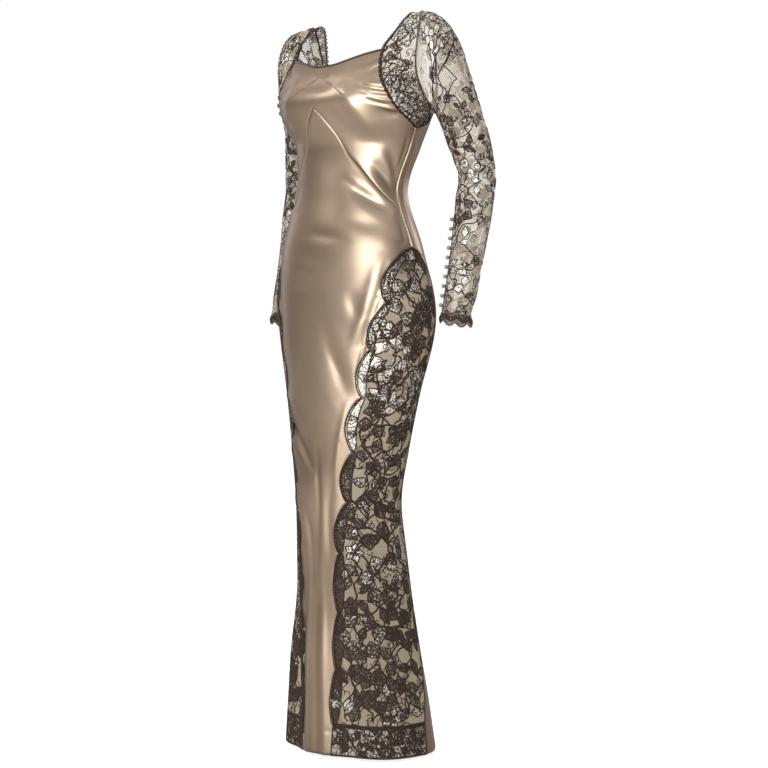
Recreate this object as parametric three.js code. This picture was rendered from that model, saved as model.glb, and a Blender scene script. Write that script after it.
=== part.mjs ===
// A long-sleeved evening gown of bias-cut satin and corded lace, on its hollow worn form.
// Millimetres; +Z is up, the front faces -Y and the wearer's left is +X. The origin lies midway
// between the tops of the shoulders. A place on the gown is { angle, z }: the angle goes round the
// body in degrees, from 0 at the centre front through 90 at the wearer's left to 180 at the back.
import * as THREE from "three";

// ---- Driving dimensions ----
const SATIN_WALL = 1.2;
const LACE_WALL = 1.0;
const BINDING_WALL = 2.2; // the neck edge is turned over itself, so it is thicker
const BINDING_SINK = 0.5; // how far the binding also reaches inside the satin's face
const BINDING_WIDTH = 5;
const SEAM_GAP = 0.3;
const ARMHOLE_GAP = 0.6; // the sleeve turns away from the yoke here, so its wall needs more room
const HEM_Z = -1447;
const BORDER_TOP_Z = -1387; // top of the straight lace border along the hem
const SIDE_SEAM_ANGLE = 90;
const LACE_TOP_Z = -461; // where the lace starts in the side seam

const FRONT_COLUMNS = 12; // steps across the front, shared by bodice and skirt along their seam
const BACK_COLUMNS = 8;
const LACE_COLUMNS = 4;
const YOKE_COLUMNS = 3;
const YOKE_STEPS = 8; // steps from shoulder to underarm
const SIDE_SEAM_STEPS = 6; // underarm to the inverted V seam
const HIP_SEAM_STEPS = 3; // inverted V seam to the lace
const LOBE_STEPS = 4; // steps along one scallop

const BUTTON_COUNT = 10;
const BUTTON_DIAMETER = 7.5;
const BUTTON_FIRST_Z = -407;
const BUTTON_LAST_Z = -574;
const BUTTON_FACE = 135; // degrees round the sleeve: the front inner edge of the forearm
const PLACKET_HALF_ANGLE = 5;
const PLACKET_WALL = 1.0;
const PLACKET_RING = 9; // first sleeve ring that the button placket reaches
const CUFF_SCALLOP = 7; // how far each second point of the cuff edge hangs lower

// Level sections of the form: full width, full depth, where the centre lies in front of (-) or
// behind (+) the shoulder line, and how square the section is (2 is an ellipse).
const SECTIONS = [
  { z: 0, width: 316, depth: 0, centre: 0, square: 2.5 }, // shoulder line
  { z: -8, width: 320, depth: 40, centre: 0, square: 2.5 },
  { z: -22, width: 328, depth: 84, centre: -2, square: 2.5 },
  { z: -45, width: 336, depth: 130, centre: -6, square: 2.5 },
  { z: -77, width: 342, depth: 165, centre: -12, square: 2.5 },
  { z: -103, width: 346, depth: 194, centre: -18, square: 2.45 }, // neckline
  { z: -135, width: 351, depth: 222, centre: -24, square: 2.35 },
  { z: -174, width: 352, depth: 240, centre: -28, square: 2.2 }, // bust
  { z: -215, width: 326, depth: 222, centre: -26, square: 2.1 },
  { z: -262, width: 286, depth: 194, centre: -23.5, square: 2 },
  { z: -351, width: 255, depth: 176, centre: -43, square: 2 }, // waist
  { z: -461, width: 328, depth: 216, centre: -40.5, square: 2 },
  { z: -600, width: 365, depth: 240, centre: -28, square: 2 }, // hip
  { z: -760, width: 291, depth: 218, centre: -39, square: 2 },
  { z: -859, width: 248, depth: 208, centre: -45, square: 2 },
  { z: -959, width: 216, depth: 198, centre: -49, square: 2 }, // knee
  { z: -1058, width: 229, depth: 202, centre: -40.5, square: 2 },
  { z: -1158, width: 243, depth: 212, centre: -32, square: 2 },
  { z: -1258, width: 275, depth: 224, centre: -26.5, square: 2 },
  { z: -1357, width: 302, depth: 238, centre: -18, square: 2 },
  { z: HEM_Z, width: 327, depth: 250, centre: -13, square: 2 },
];

// The largest folds: each runs from one place to another, and stands out (+) or sinks in (-).
const FOLDS = [
  { angle: 52, z: -292, toAngle: 96, toZ: -368, width: 20, height: -3.5 }, // above the V seam
  { angle: 36, z: -345, toAngle: 76, toZ: -398, width: 20, height: -3 }, // below the V seam
  { angle: 60, z: -470, toAngle: 38, toZ: -650, width: 22, height: 3.5 }, // beside the lace top
  { angle: 9, z: -634, toAngle: 33, toZ: -740, width: 22, height: -3 },
  { angle: -34, z: -800, toAngle: 7, toZ: -910, width: 22, height: -3.5 },
  { angle: 8, z: -900, toAngle: 1, toZ: -1110, width: 20, height: -3 },
  { angle: 0, z: -1090, toAngle: 0, toZ: -1600, width: 34, height: 8 }, // the front's column
  { angle: 27, z: -1150, toAngle: 27, toZ: -1600, width: 26, height: -6 },
  { angle: -27, z: -1150, toAngle: -27, toZ: -1600, width: 26, height: -6 },
  { angle: 56, z: -1120, toAngle: 56, toZ: -1600, width: 40, height: 7 }, // flare of the lace
  { angle: -56, z: -1120, toAngle: -56, toZ: -1600, width: 40, height: 7 },
  { angle: 86, z: -1150, toAngle: 86, toZ: -1600, width: 34, height: -5 },
  { angle: -86, z: -1150, toAngle: -86, toZ: -1600, width: 34, height: -5 },
  { angle: 150, z: -1100, toAngle: 150, toZ: -1600, width: 40, height: 5 },
  { angle: 210, z: -1100, toAngle: 210, toZ: -1600, width: 40, height: 5 },
];

// Front neckline from the centre to the yoke, and the low back neckline.
const FRONT_NECKLINE = [
  { angle: 0, z: -103 },
  { angle: 6, z: -101 },
  { angle: 13, z: -95 },
  { angle: 20, z: -89 },
  { angle: 27, z: -84 },
  { angle: 34.5, z: -80 },
  { angle: 42, z: -77 },
];
const BACK_NECKLINE = [
  { angle: 131, z: -140 },
  { angle: 143, z: -170 },
  { angle: 155, z: -190 },
  { angle: 168, z: -201 },
  { angle: 180, z: -205 },
];

// The lace yoke rings the armhole. Each row is one line across it, from the armhole to its outer
// edge: the neck edge at first, and the seam with the satin below the neckline.
const YOKE_FRONT = [
  { armAngle: 75, armZ: 0, outerAngle: 52, outerZ: 0 }, // shoulder seam
  { armAngle: 76.5, armZ: -16, outerAngle: 50, outerZ: -14 },
  { armAngle: 77, armZ: -37, outerAngle: 48.5, outerZ: -38 },
  { armAngle: 79, armZ: -66, outerAngle: 44.5, outerZ: -58 },
  { armAngle: 81, armZ: -99, outerAngle: 42, outerZ: -77 }, // end of the satin neckline
  { armAngle: 85, armZ: -133, outerAngle: 46.5, outerZ: -113 },
  { armAngle: 91.5, armZ: -162, outerAngle: 54, outerZ: -151 },
  { armAngle: 101, armZ: -183, outerAngle: 69, outerZ: -196 },
  { armAngle: 109, armZ: -197, outerAngle: SIDE_SEAM_ANGLE, outerZ: -226 }, // underarm
];
const YOKE_BACK = [
  { armAngle: 105, armZ: 0, outerAngle: 128, outerZ: 0 }, // shoulder seam
  { armAngle: 109, armZ: -19, outerAngle: 121.5, outerZ: -26 },
  { armAngle: 112.5, armZ: -41, outerAngle: 120.5, outerZ: -64 },
  { armAngle: 116, armZ: -69, outerAngle: 123.5, outerZ: -100 },
  { armAngle: 118, armZ: -103, outerAngle: 131, outerZ: -140 }, // end of the back neckline
  { armAngle: 119, armZ: -136, outerAngle: 126, outerZ: -172 },
  { armAngle: 118.5, armZ: -165, outerAngle: 117, outerZ: -200 },
  { armAngle: 115, armZ: -188, outerAngle: 104, outerZ: -220 },
  { armAngle: 109, armZ: -197, outerAngle: SIDE_SEAM_ANGLE, outerZ: -226 }, // underarm
];

// The inverted V seam from its point at the centre front down to the side seam.
const V_SEAM = [
  { angle: 0, z: -186 },
  { angle: 12, z: -228 },
  { angle: 25, z: -274 },
  { angle: 40, z: -305 },
  { angle: 57, z: -336 },
  { angle: 74, z: -364 },
  { angle: SIDE_SEAM_ANGLE, z: -385 },
];

// The scalloped front edge of the side lace: each row is the notch above one lobe and the angle
// that the lobe's tip reaches. The last row only ends the last lobe.
const LACE_START = { angle: 82, z: -468 };
const LACE_LOBES = [
  { z: LACE_START.z, notch: LACE_START.angle, tip: 56 },
  { z: -569, notch: 57, tip: 43 },
  { z: -659, notch: 46, tip: 37.5 },
  { z: -751, notch: 45, tip: 33.5 },
  { z: -858, notch: 44, tip: 33 },
  { z: -955, notch: 42, tip: 26.5 },
  { z: -1053, notch: 29, tip: 21.5 },
  { z: -1169, notch: 25, tip: 18.5 },
  { z: -1280, notch: 20, tip: 14.5 },
  { z: BORDER_TOP_Z, notch: 15.5 },
];
const LOBE_ROUNDNESS = 0.7; // under 1 fills the lobe out towards its notches
const LACE_REAR = [
  { z: -468, angle: 98 },
  { z: -530, angle: 120 },
  { z: -620, angle: 122 },
  { z: -1000, angle: 122 },
  { z: -1240, angle: 121 },
  { z: BORDER_TOP_Z, angle: 102 },
];
const HEM_FRONT_ANGLE = 13.5; // where the hem border ends at the front and at the back
const HEM_REAR_ANGLE = 99;

// Sleeve rings below the armhole, for the wearer's left. `long` and `deep` are the ring's half
// sizes: away from the body and towards the front. The tilt turns the ring from upright (0) to
// level (90), the pitch leans a level ring's axis forwards as it goes down, and the yaw brings the
// outer end of an upright ring forwards.
const SLEEVE_RINGS = [
  { x: 188, y: 3.5, z: -104, long: 94, deep: 45, tilt: 6, pitch: 0, yaw: 8.5 },
  { x: 201, y: 7.5, z: -119, long: 85, deep: 49, tilt: 15, pitch: 0, yaw: 8.5 },
  { x: 210, y: 17.5, z: -146, long: 66, deep: 47, tilt: 27, pitch: -3, yaw: 7 },
  { x: 216.5, y: 27.5, z: -178, long: 49.5, deep: 44, tilt: 46.5, pitch: -5, yaw: 6.5 },
  { x: 219.5, y: 41, z: -209.5, long: 42, deep: 42, tilt: 66.5, pitch: -8, yaw: 4 },
  { x: 230, y: 49, z: -251, long: 39.5, deep: 40, tilt: 78, pitch: -8, yaw: 0 },
  { x: 241, y: 57, z: -300, long: 35.5, deep: 36, tilt: 84, pitch: -5, yaw: 0 },
  { x: 245, y: 58, z: -332, long: 34.5, deep: 35, tilt: 88, pitch: 0, yaw: 0 }, // elbow
  { x: 244, y: 52, z: -366, long: 35, deep: 35.5, tilt: 90, pitch: 8, yaw: 0 },
  { x: 244.5, y: 46, z: -400, long: 34, deep: 34.5, tilt: 90, pitch: 11, yaw: 0 },
  { x: 243.5, y: 36.5, z: -450, long: 31.5, deep: 32, tilt: 90, pitch: 12, yaw: 0 },
  { x: 243, y: 24, z: -505, long: 29.5, deep: 30, tilt: 90, pitch: 12, yaw: 0 },
  { x: 242.5, y: 12, z: -555, long: 28.5, deep: 29, tilt: 90, pitch: 12, yaw: 0 },
  { x: 241, y: 4, z: -583, long: 26, deep: 26.5, tilt: 90, pitch: 12, yaw: 0 }, // wrist
  { x: 240, y: 2, z: -602, long: 31, deep: 31, tilt: 90, pitch: 12, yaw: 0 }, // flared cuff edge
];
const SLEEVE_COLUMNS = 2 * YOKE_STEPS; // one for each step round the armhole

// A sleeve's lengths, each between two of its rings; ring 0 is the armhole.
const SLEEVE_LENGTHS = [
  { name: "sleeve_head", from: 0, to: 4 },
  { name: "sleeve_upper", from: 4, to: 8 },
  { name: "sleeve_lower", from: 8, to: SLEEVE_RINGS.length },
];

// ---- Materials ----
function cloth(colour, roughness, metalness = 0) {
  return new THREE.MeshStandardMaterial({ color: colour, roughness, metalness });
}
const SATIN = cloth(0x937c66, 0.3, 0.1);
const SATIN_BACK = cloth(0x8b7460, 0.35, 0.1);
const LACE = cloth(0x5a4a40, 0.75);
const LACE_BORDER = cloth(0x4a3d34, 0.75);
const BINDING = cloth(0x4c3e36, 0.4);
const BUTTON = cloth(0x7a685a, 0.4, 0.1);

// ---- Form of the gown ----
const radians = (degrees) => (degrees * Math.PI) / 180;
const lerp = THREE.MathUtils.lerp;

// The named value at x on a smooth curve through the rows, which are in order of `axis`.
function smoothAt(rows, axis, key, x) {
  const last = rows.length - 1;
  let i = 0;
  while (i < last - 1 && axis(rows[i + 1]) < x) i++;
  const slope = (k) => {
    const a = rows[Math.max(k - 1, 0)];
    const b = rows[Math.min(k + 1, last)];
    return (b[key] - a[key]) / (axis(b) - axis(a));
  };
  const step = axis(rows[i + 1]) - axis(rows[i]);
  const t = THREE.MathUtils.clamp((x - axis(rows[i])) / step, 0, 1);
  const keep = t * t * (3 - 2 * t);
  const start = t * (1 - t) * (1 - t) * step * slope(i);
  const end = t * t * (t - 1) * step * slope(i + 1);
  return lerp(rows[i][key], rows[i + 1][key], keep) + start + end;
}

// Sections are spaced by the root of their depth below the shoulders, so the top closes round.
const drop = ({ z }) => Math.sqrt(Math.max(0, -z));
const sectionValue = (key, z) => smoothAt(SECTIONS, drop, key, drop({ z }));
const signedPower = (value, power) => Math.sign(value) * Math.abs(value) ** power;

// The plain form's point at an angle and a root depth.
function formPoint(angle, rootDepth) {
  const z = -rootDepth * rootDepth;
  const power = 2 / sectionValue("square", z);
  return new THREE.Vector3(
    (sectionValue("width", z) / 2) * signedPower(Math.sin(radians(angle)), power),
    sectionValue("centre", z) -
      (sectionValue("depth", z) / 2) * signedPower(Math.cos(radians(angle)), power),
    z,
  );
}

function formNormal(angle, rootDepth) {
  const round = formPoint(angle + 1, rootDepth).sub(formPoint(angle - 1, rootDepth));
  const top = Math.max(rootDepth - 0.1, 0);
  const down = formPoint(angle, rootDepth + 0.1).sub(formPoint(angle, top));
  return down.cross(round).normalize();
}

// How far the folds lift the cloth at a place: each is a round ridge that fades in at its ends.
function foldLift({ angle, z }) {
  const reach = (sectionValue("width", z) + sectionValue("depth", z)) / 4;
  const perDegree = radians(1) * reach;
  return FOLDS.reduce((sum, fold) => {
    const along = new THREE.Vector2((fold.toAngle - fold.angle) * perDegree, fold.toZ - fold.z);
    const from = new THREE.Vector2((angle - fold.angle) * perDegree, z - fold.z);
    const t = THREE.MathUtils.clamp(from.dot(along) / along.lengthSq(), 0, 1);
    const away = from.sub(along.multiplyScalar(t)).length() / fold.width;
    return sum + fold.height * Math.exp(-away * away) * Math.sin(Math.PI * t) ** 0.6;
  }, 0);
}

// A point of the gown, `lift` outside the inner face of its cloth.
function onGown({ angle, z }, lift = 0) {
  const normal = formNormal(angle, drop({ z }));
  return formPoint(angle, drop({ z })).addScaledVector(normal, foldLift({ angle, z }) + lift);
}

// ---- Shells ----
// A closed wall between two grids of points. With `wrap` the columns run round into a tube.
function shellGeometry(inner, outer, wrap = false) {
  const rows = inner.length;
  const columns = inner[0].length;
  const steps = wrap ? columns : columns - 1;
  const index = [];
  const at = (side, row, column) => side * rows * columns + row * columns + (column % columns);
  const quad = (a, b, c, d) => index.push(a, b, c, a, c, d);
  for (let r = 0; r < rows - 1; r++)
    for (let c = 0; c < steps; c++) {
      quad(at(0, r, c), at(0, r, c + 1), at(0, r + 1, c + 1), at(0, r + 1, c));
      quad(at(1, r, c), at(1, r + 1, c), at(1, r + 1, c + 1), at(1, r, c + 1));
    }
  for (let c = 0; c < steps; c++) {
    quad(at(0, 0, c + 1), at(0, 0, c), at(1, 0, c), at(1, 0, c + 1));
    quad(at(0, rows - 1, c), at(0, rows - 1, c + 1), at(1, rows - 1, c + 1), at(1, rows - 1, c));
  }
  if (!wrap)
    for (let r = 0; r < rows - 1; r++) {
      quad(at(0, r, 0), at(0, r + 1, 0), at(1, r + 1, 0), at(1, r, 0));
      quad(at(0, r + 1, steps), at(0, r, steps), at(1, r, steps), at(1, r + 1, steps));
    }
  const points = [...inner.flat(), ...outer.flat()];
  const geometry = new THREE.BufferGeometry().setFromPoints(points).setIndex(index);
  if (signedVolume(points, index) < 0) geometry.setIndex(index.toReversed());
  geometry.computeVertexNormals();
  return geometry;
}

function signedVolume(points, index) {
  const cross = new THREE.Vector3();
  let sum = 0;
  for (let i = 0; i < index.length; i += 3)
    sum += cross.crossVectors(points[index[i + 1]], points[index[i + 2]]).dot(points[index[i]]);
  return sum / 6;
}

// Draws the rim of a grid of points in by half a seam gap, square to its own edge.
function drawnIn(points, normals) {
  const rows = points.length - 1;
  const columns = points[0].length - 1;
  const inward = (r, c, ends, towards) => {
    const edge = points[ends[1][0]][ends[1][1]].clone().sub(points[ends[0][0]][ends[0][1]]);
    const square = edge.cross(normals[r][c]).normalize();
    const inside = points[towards[0]][towards[1]].clone().sub(points[r][c]);
    return square.multiplyScalar(Math.sign(square.dot(inside)) * (SEAM_GAP / 2));
  };
  return points.map((line, r) =>
    line.map((point, c) => {
      const moved = point.clone();
      const before = Math.max(c - 1, 0);
      const after = Math.min(c + 1, columns);
      const above = Math.max(r - 1, 0);
      const below = Math.min(r + 1, rows);
      if (r === 0) moved.add(inward(r, c, [[0, before], [0, after]], [1, c]));
      if (r === rows) moved.add(inward(r, c, [[rows, before], [rows, after]], [rows - 1, c]));
      if (c === 0) moved.add(inward(r, c, [[above, 0], [below, 0]], [r, 1]));
      if (c === columns)
        moved.add(inward(r, c, [[above, columns], [below, columns]], [r, columns - 1]));
      return moved;
    }),
  );
}

// A cut piece: a grid of places on the gown, given a wall.
function pieceMesh(name, places, wall, material, sink = 0) {
  const normals = places.map((line) => line.map(({ angle, z }) => formNormal(angle, drop({ z }))));
  const inner = drawnIn(places.map((line) => line.map((place) => onGown(place, -sink))), normals);
  const outer = inner.map((line, r) =>
    line.map((point, c) => point.clone().addScaledVector(normals[r][c], wall)),
  );
  return named(name, shellGeometry(inner, outer), material);
}

function named(name, geometry, material) {
  const mesh = new THREE.Mesh(geometry, material);
  mesh.name = name;
  return mesh;
}

// ---- Seam lines: lists of places, shared by the pieces on both sides ----
const between = (a, b, t) => ({ angle: lerp(a.angle, b.angle, t), z: lerp(a.z, b.z, t) });
const stepsBetween = (a, b, steps) =>
  Array.from({ length: steps + 1 }, (_, i) => between(a, b, i / steps));
const joined = (...lines) => lines.flatMap((line, i) => (i ? line.slice(1) : line));
const mirrored = (line) => line.map(({ angle, z }) => ({ angle: -angle, z }));
const roundTheBack = (line) => line.map(({ angle, z }) => ({ angle: 360 - angle, z }));
const lowered = (line, by) => line.map(({ angle, z }) => ({ angle, z: z - by }));
// A line given from the centre to one side, run from the mirrored side across the centre.
const acrossFront = (half) => [...mirrored(half).reverse(), ...half.slice(1)];

const outerEdge = (yoke) => yoke.map(({ outerAngle, outerZ }) => ({ angle: outerAngle, z: outerZ }));
const NECKLINE_ROW = 4; // the yoke row where the satin neckline ends
const frontYokeSeam = outerEdge(YOKE_FRONT).slice(NECKLINE_ROW);
const backYokeSeam = outerEdge(YOKE_BACK).slice(NECKLINE_ROW);
const underarm = frontYokeSeam.at(-1);
const vSeamEnd = V_SEAM.at(-1);
const laceTop = { angle: SIDE_SEAM_ANGLE, z: LACE_TOP_Z };
const sideSeam = stepsBetween(underarm, vSeamEnd, SIDE_SEAM_STEPS);
const hipSeam = stepsBetween(vSeamEnd, laceTop, HIP_SEAM_STEPS);

// The scalloped edge: a straight run from notch to notch, less a rounded lobe.
function scallopedEdge(lobes) {
  const line = [];
  lobes.slice(0, -1).forEach((lobe, i) => {
    const next = lobes[i + 1];
    const reach = (lobe.notch + next.notch) / 2 - lobe.tip;
    for (let step = 0; step < LOBE_STEPS; step++) {
      const t = step / LOBE_STEPS;
      const bulge = reach * Math.sin(Math.PI * t) ** LOBE_ROUNDNESS;
      line.push({ angle: lerp(lobe.notch, next.notch, t) - bulge, z: lerp(lobe.z, next.z, t) });
    }
  });
  const end = lobes.at(-1);
  return [...line, { angle: end.notch, z: end.z }];
}
const laceFront = scallopedEdge(LACE_LOBES);
const laceRear = laceFront.map(({ z }) => ({
  angle: smoothAt(LACE_REAR, (row) => -row.z, "angle", -z),
  z,
}));
const borderFront = [laceFront.at(-1), { angle: HEM_FRONT_ANGLE, z: HEM_Z }];
const borderRear = [laceRear.at(-1), { angle: HEM_REAR_ANGLE, z: HEM_Z }];

// A grid of places that fits four seam lines. Top and bottom run left to right, sides run down.
function spread(top, bottom, left, right) {
  return left.map((_, r) =>
    top.map((_, c) => {
      const u = c / (top.length - 1);
      const v = r / (left.length - 1);
      const blend = (key) =>
        lerp(top[c][key], bottom[c][key], v) +
        lerp(left[r][key], right[r][key], u) -
        lerp(lerp(top[0][key], top.at(-1)[key], u), lerp(bottom[0][key], bottom.at(-1)[key], u), v);
      return { angle: blend("angle"), z: blend("z") };
    }),
  );
}

// ---- Satin ----
function frontBodice() {
  const top = acrossFront(lowered(FRONT_NECKLINE, BINDING_WIDTH));
  const side = joined([top.at(-1), ...frontYokeSeam.slice(1)], sideSeam);
  const places = spread(top, acrossFront(V_SEAM), mirrored(side), side);
  return pieceMesh("front_bodice", places, SATIN_WALL, SATIN);
}

function frontSkirt() {
  const side = joined(hipSeam, [laceTop, LACE_START], laceFront, borderFront);
  const hem = stepsBetween(mirrored([side.at(-1)])[0], side.at(-1), FRONT_COLUMNS);
  const places = spread(acrossFront(V_SEAM), hem, mirrored(side), side);
  return pieceMesh("front_skirt", places, SATIN_WALL, SATIN);
}

function backPanel() {
  const half = lowered(BACK_NECKLINE, BINDING_WIDTH);
  const top = [...half, ...roundTheBack(half).reverse().slice(1)];
  const side = joined(
    [top[0], ...backYokeSeam.slice(1)],
    sideSeam,
    hipSeam,
    [laceTop, laceRear[0]],
    laceRear,
    borderRear,
  );
  const hem = stepsBetween(side.at(-1), roundTheBack([side.at(-1)])[0], BACK_COLUMNS);
  const places = spread(top, hem, side, roundTheBack(side));
  return pieceMesh("back_panel", places, SATIN_WALL, SATIN_BACK);
}

function neckBinding(name, line) {
  const places = [line, lowered(line, BINDING_WIDTH)];
  return pieceMesh(name, places, BINDING_WALL, BINDING, BINDING_SINK);
}

// ---- Lace ----
// The wearer's right is the left piece's places with their angles mirrored.
const onSide = (side, places) => (side === "left" ? places : places.map(mirrored));

function sideLace(side) {
  const top = joined(
    stepsBetween(LACE_START, laceTop, LACE_COLUMNS / 2),
    stepsBetween(laceTop, laceRear[0], LACE_COLUMNS / 2),
  );
  const bottom = stepsBetween(laceFront.at(-1), laceRear.at(-1), LACE_COLUMNS);
  const places = spread(top, bottom, laceFront, laceRear);
  return pieceMesh(`side_lace_${side}`, onSide(side, places), LACE_WALL, LACE);
}

function hemBorder(side) {
  const places = [0, 1].map((row) => stepsBetween(borderFront[row], borderRear[row], LACE_COLUMNS));
  return pieceMesh(`hem_border_${side}`, onSide(side, places), LACE_WALL, LACE_BORDER);
}

function yoke(part, rows, side) {
  const places = rows.map(({ armAngle, armZ, outerAngle, outerZ }) =>
    stepsBetween({ angle: armAngle, z: armZ }, { angle: outerAngle, z: outerZ }, YOKE_COLUMNS),
  );
  return pieceMesh(`yoke_${part}_${side}`, onSide(side, places), LACE_WALL, LACE);
}

// The armhole, from the top of the shoulder down the front and up the back, just off the yoke.
const armhole = [...YOKE_FRONT, ...YOKE_BACK.slice(1, -1).reverse()].map(({ armAngle, armZ }) =>
  onGown({ angle: armAngle, z: armZ }, LACE_WALL + ARMHOLE_GAP),
);

function ringPoint(ring, degrees) {
  const [tilt, pitch, yaw, turn] = [ring.tilt, ring.pitch, ring.yaw, degrees].map(radians);
  const away = new THREE.Vector3(
    Math.sin(tilt),
    Math.cos(tilt) * Math.sin(pitch) - Math.sin(yaw),
    Math.cos(tilt) * Math.cos(pitch),
  ).normalize();
  const front = new THREE.Vector3(0, -Math.cos(pitch), Math.sin(pitch));
  return new THREE.Vector3(ring.x, ring.y, ring.z)
    .addScaledVector(away, ring.long * Math.cos(turn))
    .addScaledVector(front, ring.deep * Math.sin(turn));
}

function sleeveInside() {
  const rings = SLEEVE_RINGS.map((ring, i) =>
    Array.from({ length: SLEEVE_COLUMNS }, (_, c) => {
      const point = ringPoint(ring, (360 * c) / SLEEVE_COLUMNS);
      if (i === SLEEVE_RINGS.length - 1 && c % 2) point.z -= CUFF_SCALLOP;
      return point;
    }),
  );
  return [armhole, ...rings];
}

// Outward normals of a tube's rings, from their neighbours round and along the tube.
function tubeNormals(rings) {
  return rings.map((ring, r) => {
    const centre = ring.reduce((sum, point) => sum.add(point), new THREE.Vector3());
    centre.divideScalar(ring.length);
    return ring.map((point, c) => {
      const round = ring[(c + 1) % ring.length]
        .clone()
        .sub(ring[(c + ring.length - 1) % ring.length]);
      const above = rings[Math.max(r - 1, 0)][c];
      const along = rings[Math.min(r + 1, rings.length - 1)][c].clone().sub(above);
      const normal = round.cross(along).normalize();
      return normal.multiplyScalar(Math.sign(normal.dot(point.clone().sub(centre))));
    });
  });
}

// A tube piece, given for the wearer's left; its wall lies between two distances off the rings.
const offRings = (rings, normals, distance) =>
  rings.map((ring, r) => ring.map((p, c) => p.clone().addScaledVector(normals[r][c], distance)));
const mirrorPoints = (rings) =>
  rings.map((ring) => ring.map(({ x, y, z }) => new THREE.Vector3(-x, y, z)));
const pointsOnSide = (side, rings) => (side === "left" ? rings : mirrorPoints(rings));

const movedTowards = (ring, next, distance) =>
  ring.map((p, c) => p.clone().add(next[c].clone().sub(p).setLength(distance)));

function sleeve(side) {
  const inside = sleeveInside();
  const outside = offRings(inside, tubeNormals(inside), LACE_WALL);
  return SLEEVE_LENGTHS.map(({ name, from, to }) => {
    const walls = [inside, outside].map((wall) => {
      const [first, ...rest] = wall.slice(from, to + 1);
      return pointsOnSide(side, [from ? movedTowards(first, rest[0], SEAM_GAP) : first, ...rest]);
    });
    return named(`${name}_${side}`, shellGeometry(...walls, true), LACE);
  });
}

// ---- Buttons, on a placket down the front inner edge of the forearm ----
const placketRings = SLEEVE_RINGS.slice(PLACKET_RING, -1);
const ringNormal = (ring, degrees) =>
  ringPoint(ring, degrees).sub(new THREE.Vector3(ring.x, ring.y, ring.z)).normalize();

function placketFace(distance) {
  return placketRings.map((ring) =>
    [-PLACKET_HALF_ANGLE, 0, PLACKET_HALF_ANGLE].map((turn) =>
      ringPoint(ring, BUTTON_FACE + turn).addScaledVector(
        ringNormal(ring, BUTTON_FACE + turn),
        distance,
      ),
    ),
  );
}

function placket(side) {
  const foot = LACE_WALL + SEAM_GAP;
  const inner = pointsOnSide(side, placketFace(foot));
  const outer = pointsOnSide(side, placketFace(foot + PLACKET_WALL));
  return named(`button_placket_${side}`, shellGeometry(inner, outer), BINDING);
}

// The button's centre: on the straight run between two placket rings at the height wanted.
function buttonCentre(number) {
  const z = lerp(BUTTON_FIRST_Z, BUTTON_LAST_Z, (number - 1) / (BUTTON_COUNT - 1));
  const stand = LACE_WALL + 2 * SEAM_GAP + PLACKET_WALL + BUTTON_DIAMETER / 2;
  const centres = placketFace(stand).map((row) => row[1]);
  const i = centres.findIndex((point) => point.z < z) - 1;
  const share = (centres[i].z - z) / (centres[i].z - centres[i + 1].z);
  return centres[i].clone().lerp(centres[i + 1], share);
}

function button(side, number) {
  const ball = named(
    `button_${side}_${number}`,
    new THREE.SphereGeometry(BUTTON_DIAMETER / 2, 8, 5),
    BUTTON,
  );
  ball.position.copy(buttonCentre(number));
  if (side === "right") ball.position.x *= -1;
  return ball;
}

// ---- The gown ----
const gown = new THREE.Group();
gown.add(
  frontBodice(),
  frontSkirt(),
  backPanel(),
  neckBinding("neck_binding_front", acrossFront(FRONT_NECKLINE)),
  neckBinding("neck_binding_back", [
    ...BACK_NECKLINE,
    ...roundTheBack(BACK_NECKLINE).reverse().slice(1),
  ]),
);
for (const side of ["left", "right"]) {
  gown.add(yoke("front", YOKE_FRONT, side), yoke("back", YOKE_BACK, side), ...sleeve(side));
  gown.add(sideLace(side), hemBorder(side), placket(side));
  for (let number = 1; number <= BUTTON_COUNT; number++) gown.add(button(side, number));
}

export default gown;
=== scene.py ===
"""A long-sleeved, floor-length evening gown in bias-cut satin and corded lace.

The gown hangs on its hollow worn form. All sizes here are millimetres in the frame of the packed
model: +Z is up, the front faces -Y, the wearer's left is +X and the origin lies midway between the
tops of the shoulders. A place on the body of the gown is (angle, z), the angle going round from 0
at the centre front through 90 at the wearer's left to 180 at the back. A place on a sleeve is
(turn, along): degrees round it from its outer side, and the distance down its middle.
"""

import math

import bpy
import numpy as np
from bpy.props import FloatProperty, FloatVectorProperty, PointerProperty
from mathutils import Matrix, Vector


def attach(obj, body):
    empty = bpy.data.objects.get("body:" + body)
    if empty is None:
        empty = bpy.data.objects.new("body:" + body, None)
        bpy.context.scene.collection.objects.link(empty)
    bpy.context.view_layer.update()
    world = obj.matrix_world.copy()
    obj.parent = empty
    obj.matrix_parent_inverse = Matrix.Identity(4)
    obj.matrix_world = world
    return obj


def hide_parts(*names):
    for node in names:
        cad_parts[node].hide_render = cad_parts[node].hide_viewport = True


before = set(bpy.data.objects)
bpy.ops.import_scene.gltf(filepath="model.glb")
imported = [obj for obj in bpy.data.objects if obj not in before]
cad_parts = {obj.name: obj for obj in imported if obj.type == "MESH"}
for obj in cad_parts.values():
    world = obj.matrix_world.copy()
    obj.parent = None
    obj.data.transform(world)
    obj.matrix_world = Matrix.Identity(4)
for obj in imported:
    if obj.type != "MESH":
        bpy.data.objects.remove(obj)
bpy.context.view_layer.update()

bl_info = {
    "name": "Satin and Lace Evening Gown",
    "version": (1, 0, 0),
    "blender": (4, 5, 0),
    "location": "3D View > Sidebar > Gown",
    "description": "Builds a long-sleeved evening gown in bias-cut satin and corded lace",
    "category": "Add Mesh",
}

BODY = "root"


def table(names, *rows):
    """The columns of a table by name, each as one array."""
    return dict(zip(names.split(), np.array(rows, float).T))


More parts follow.
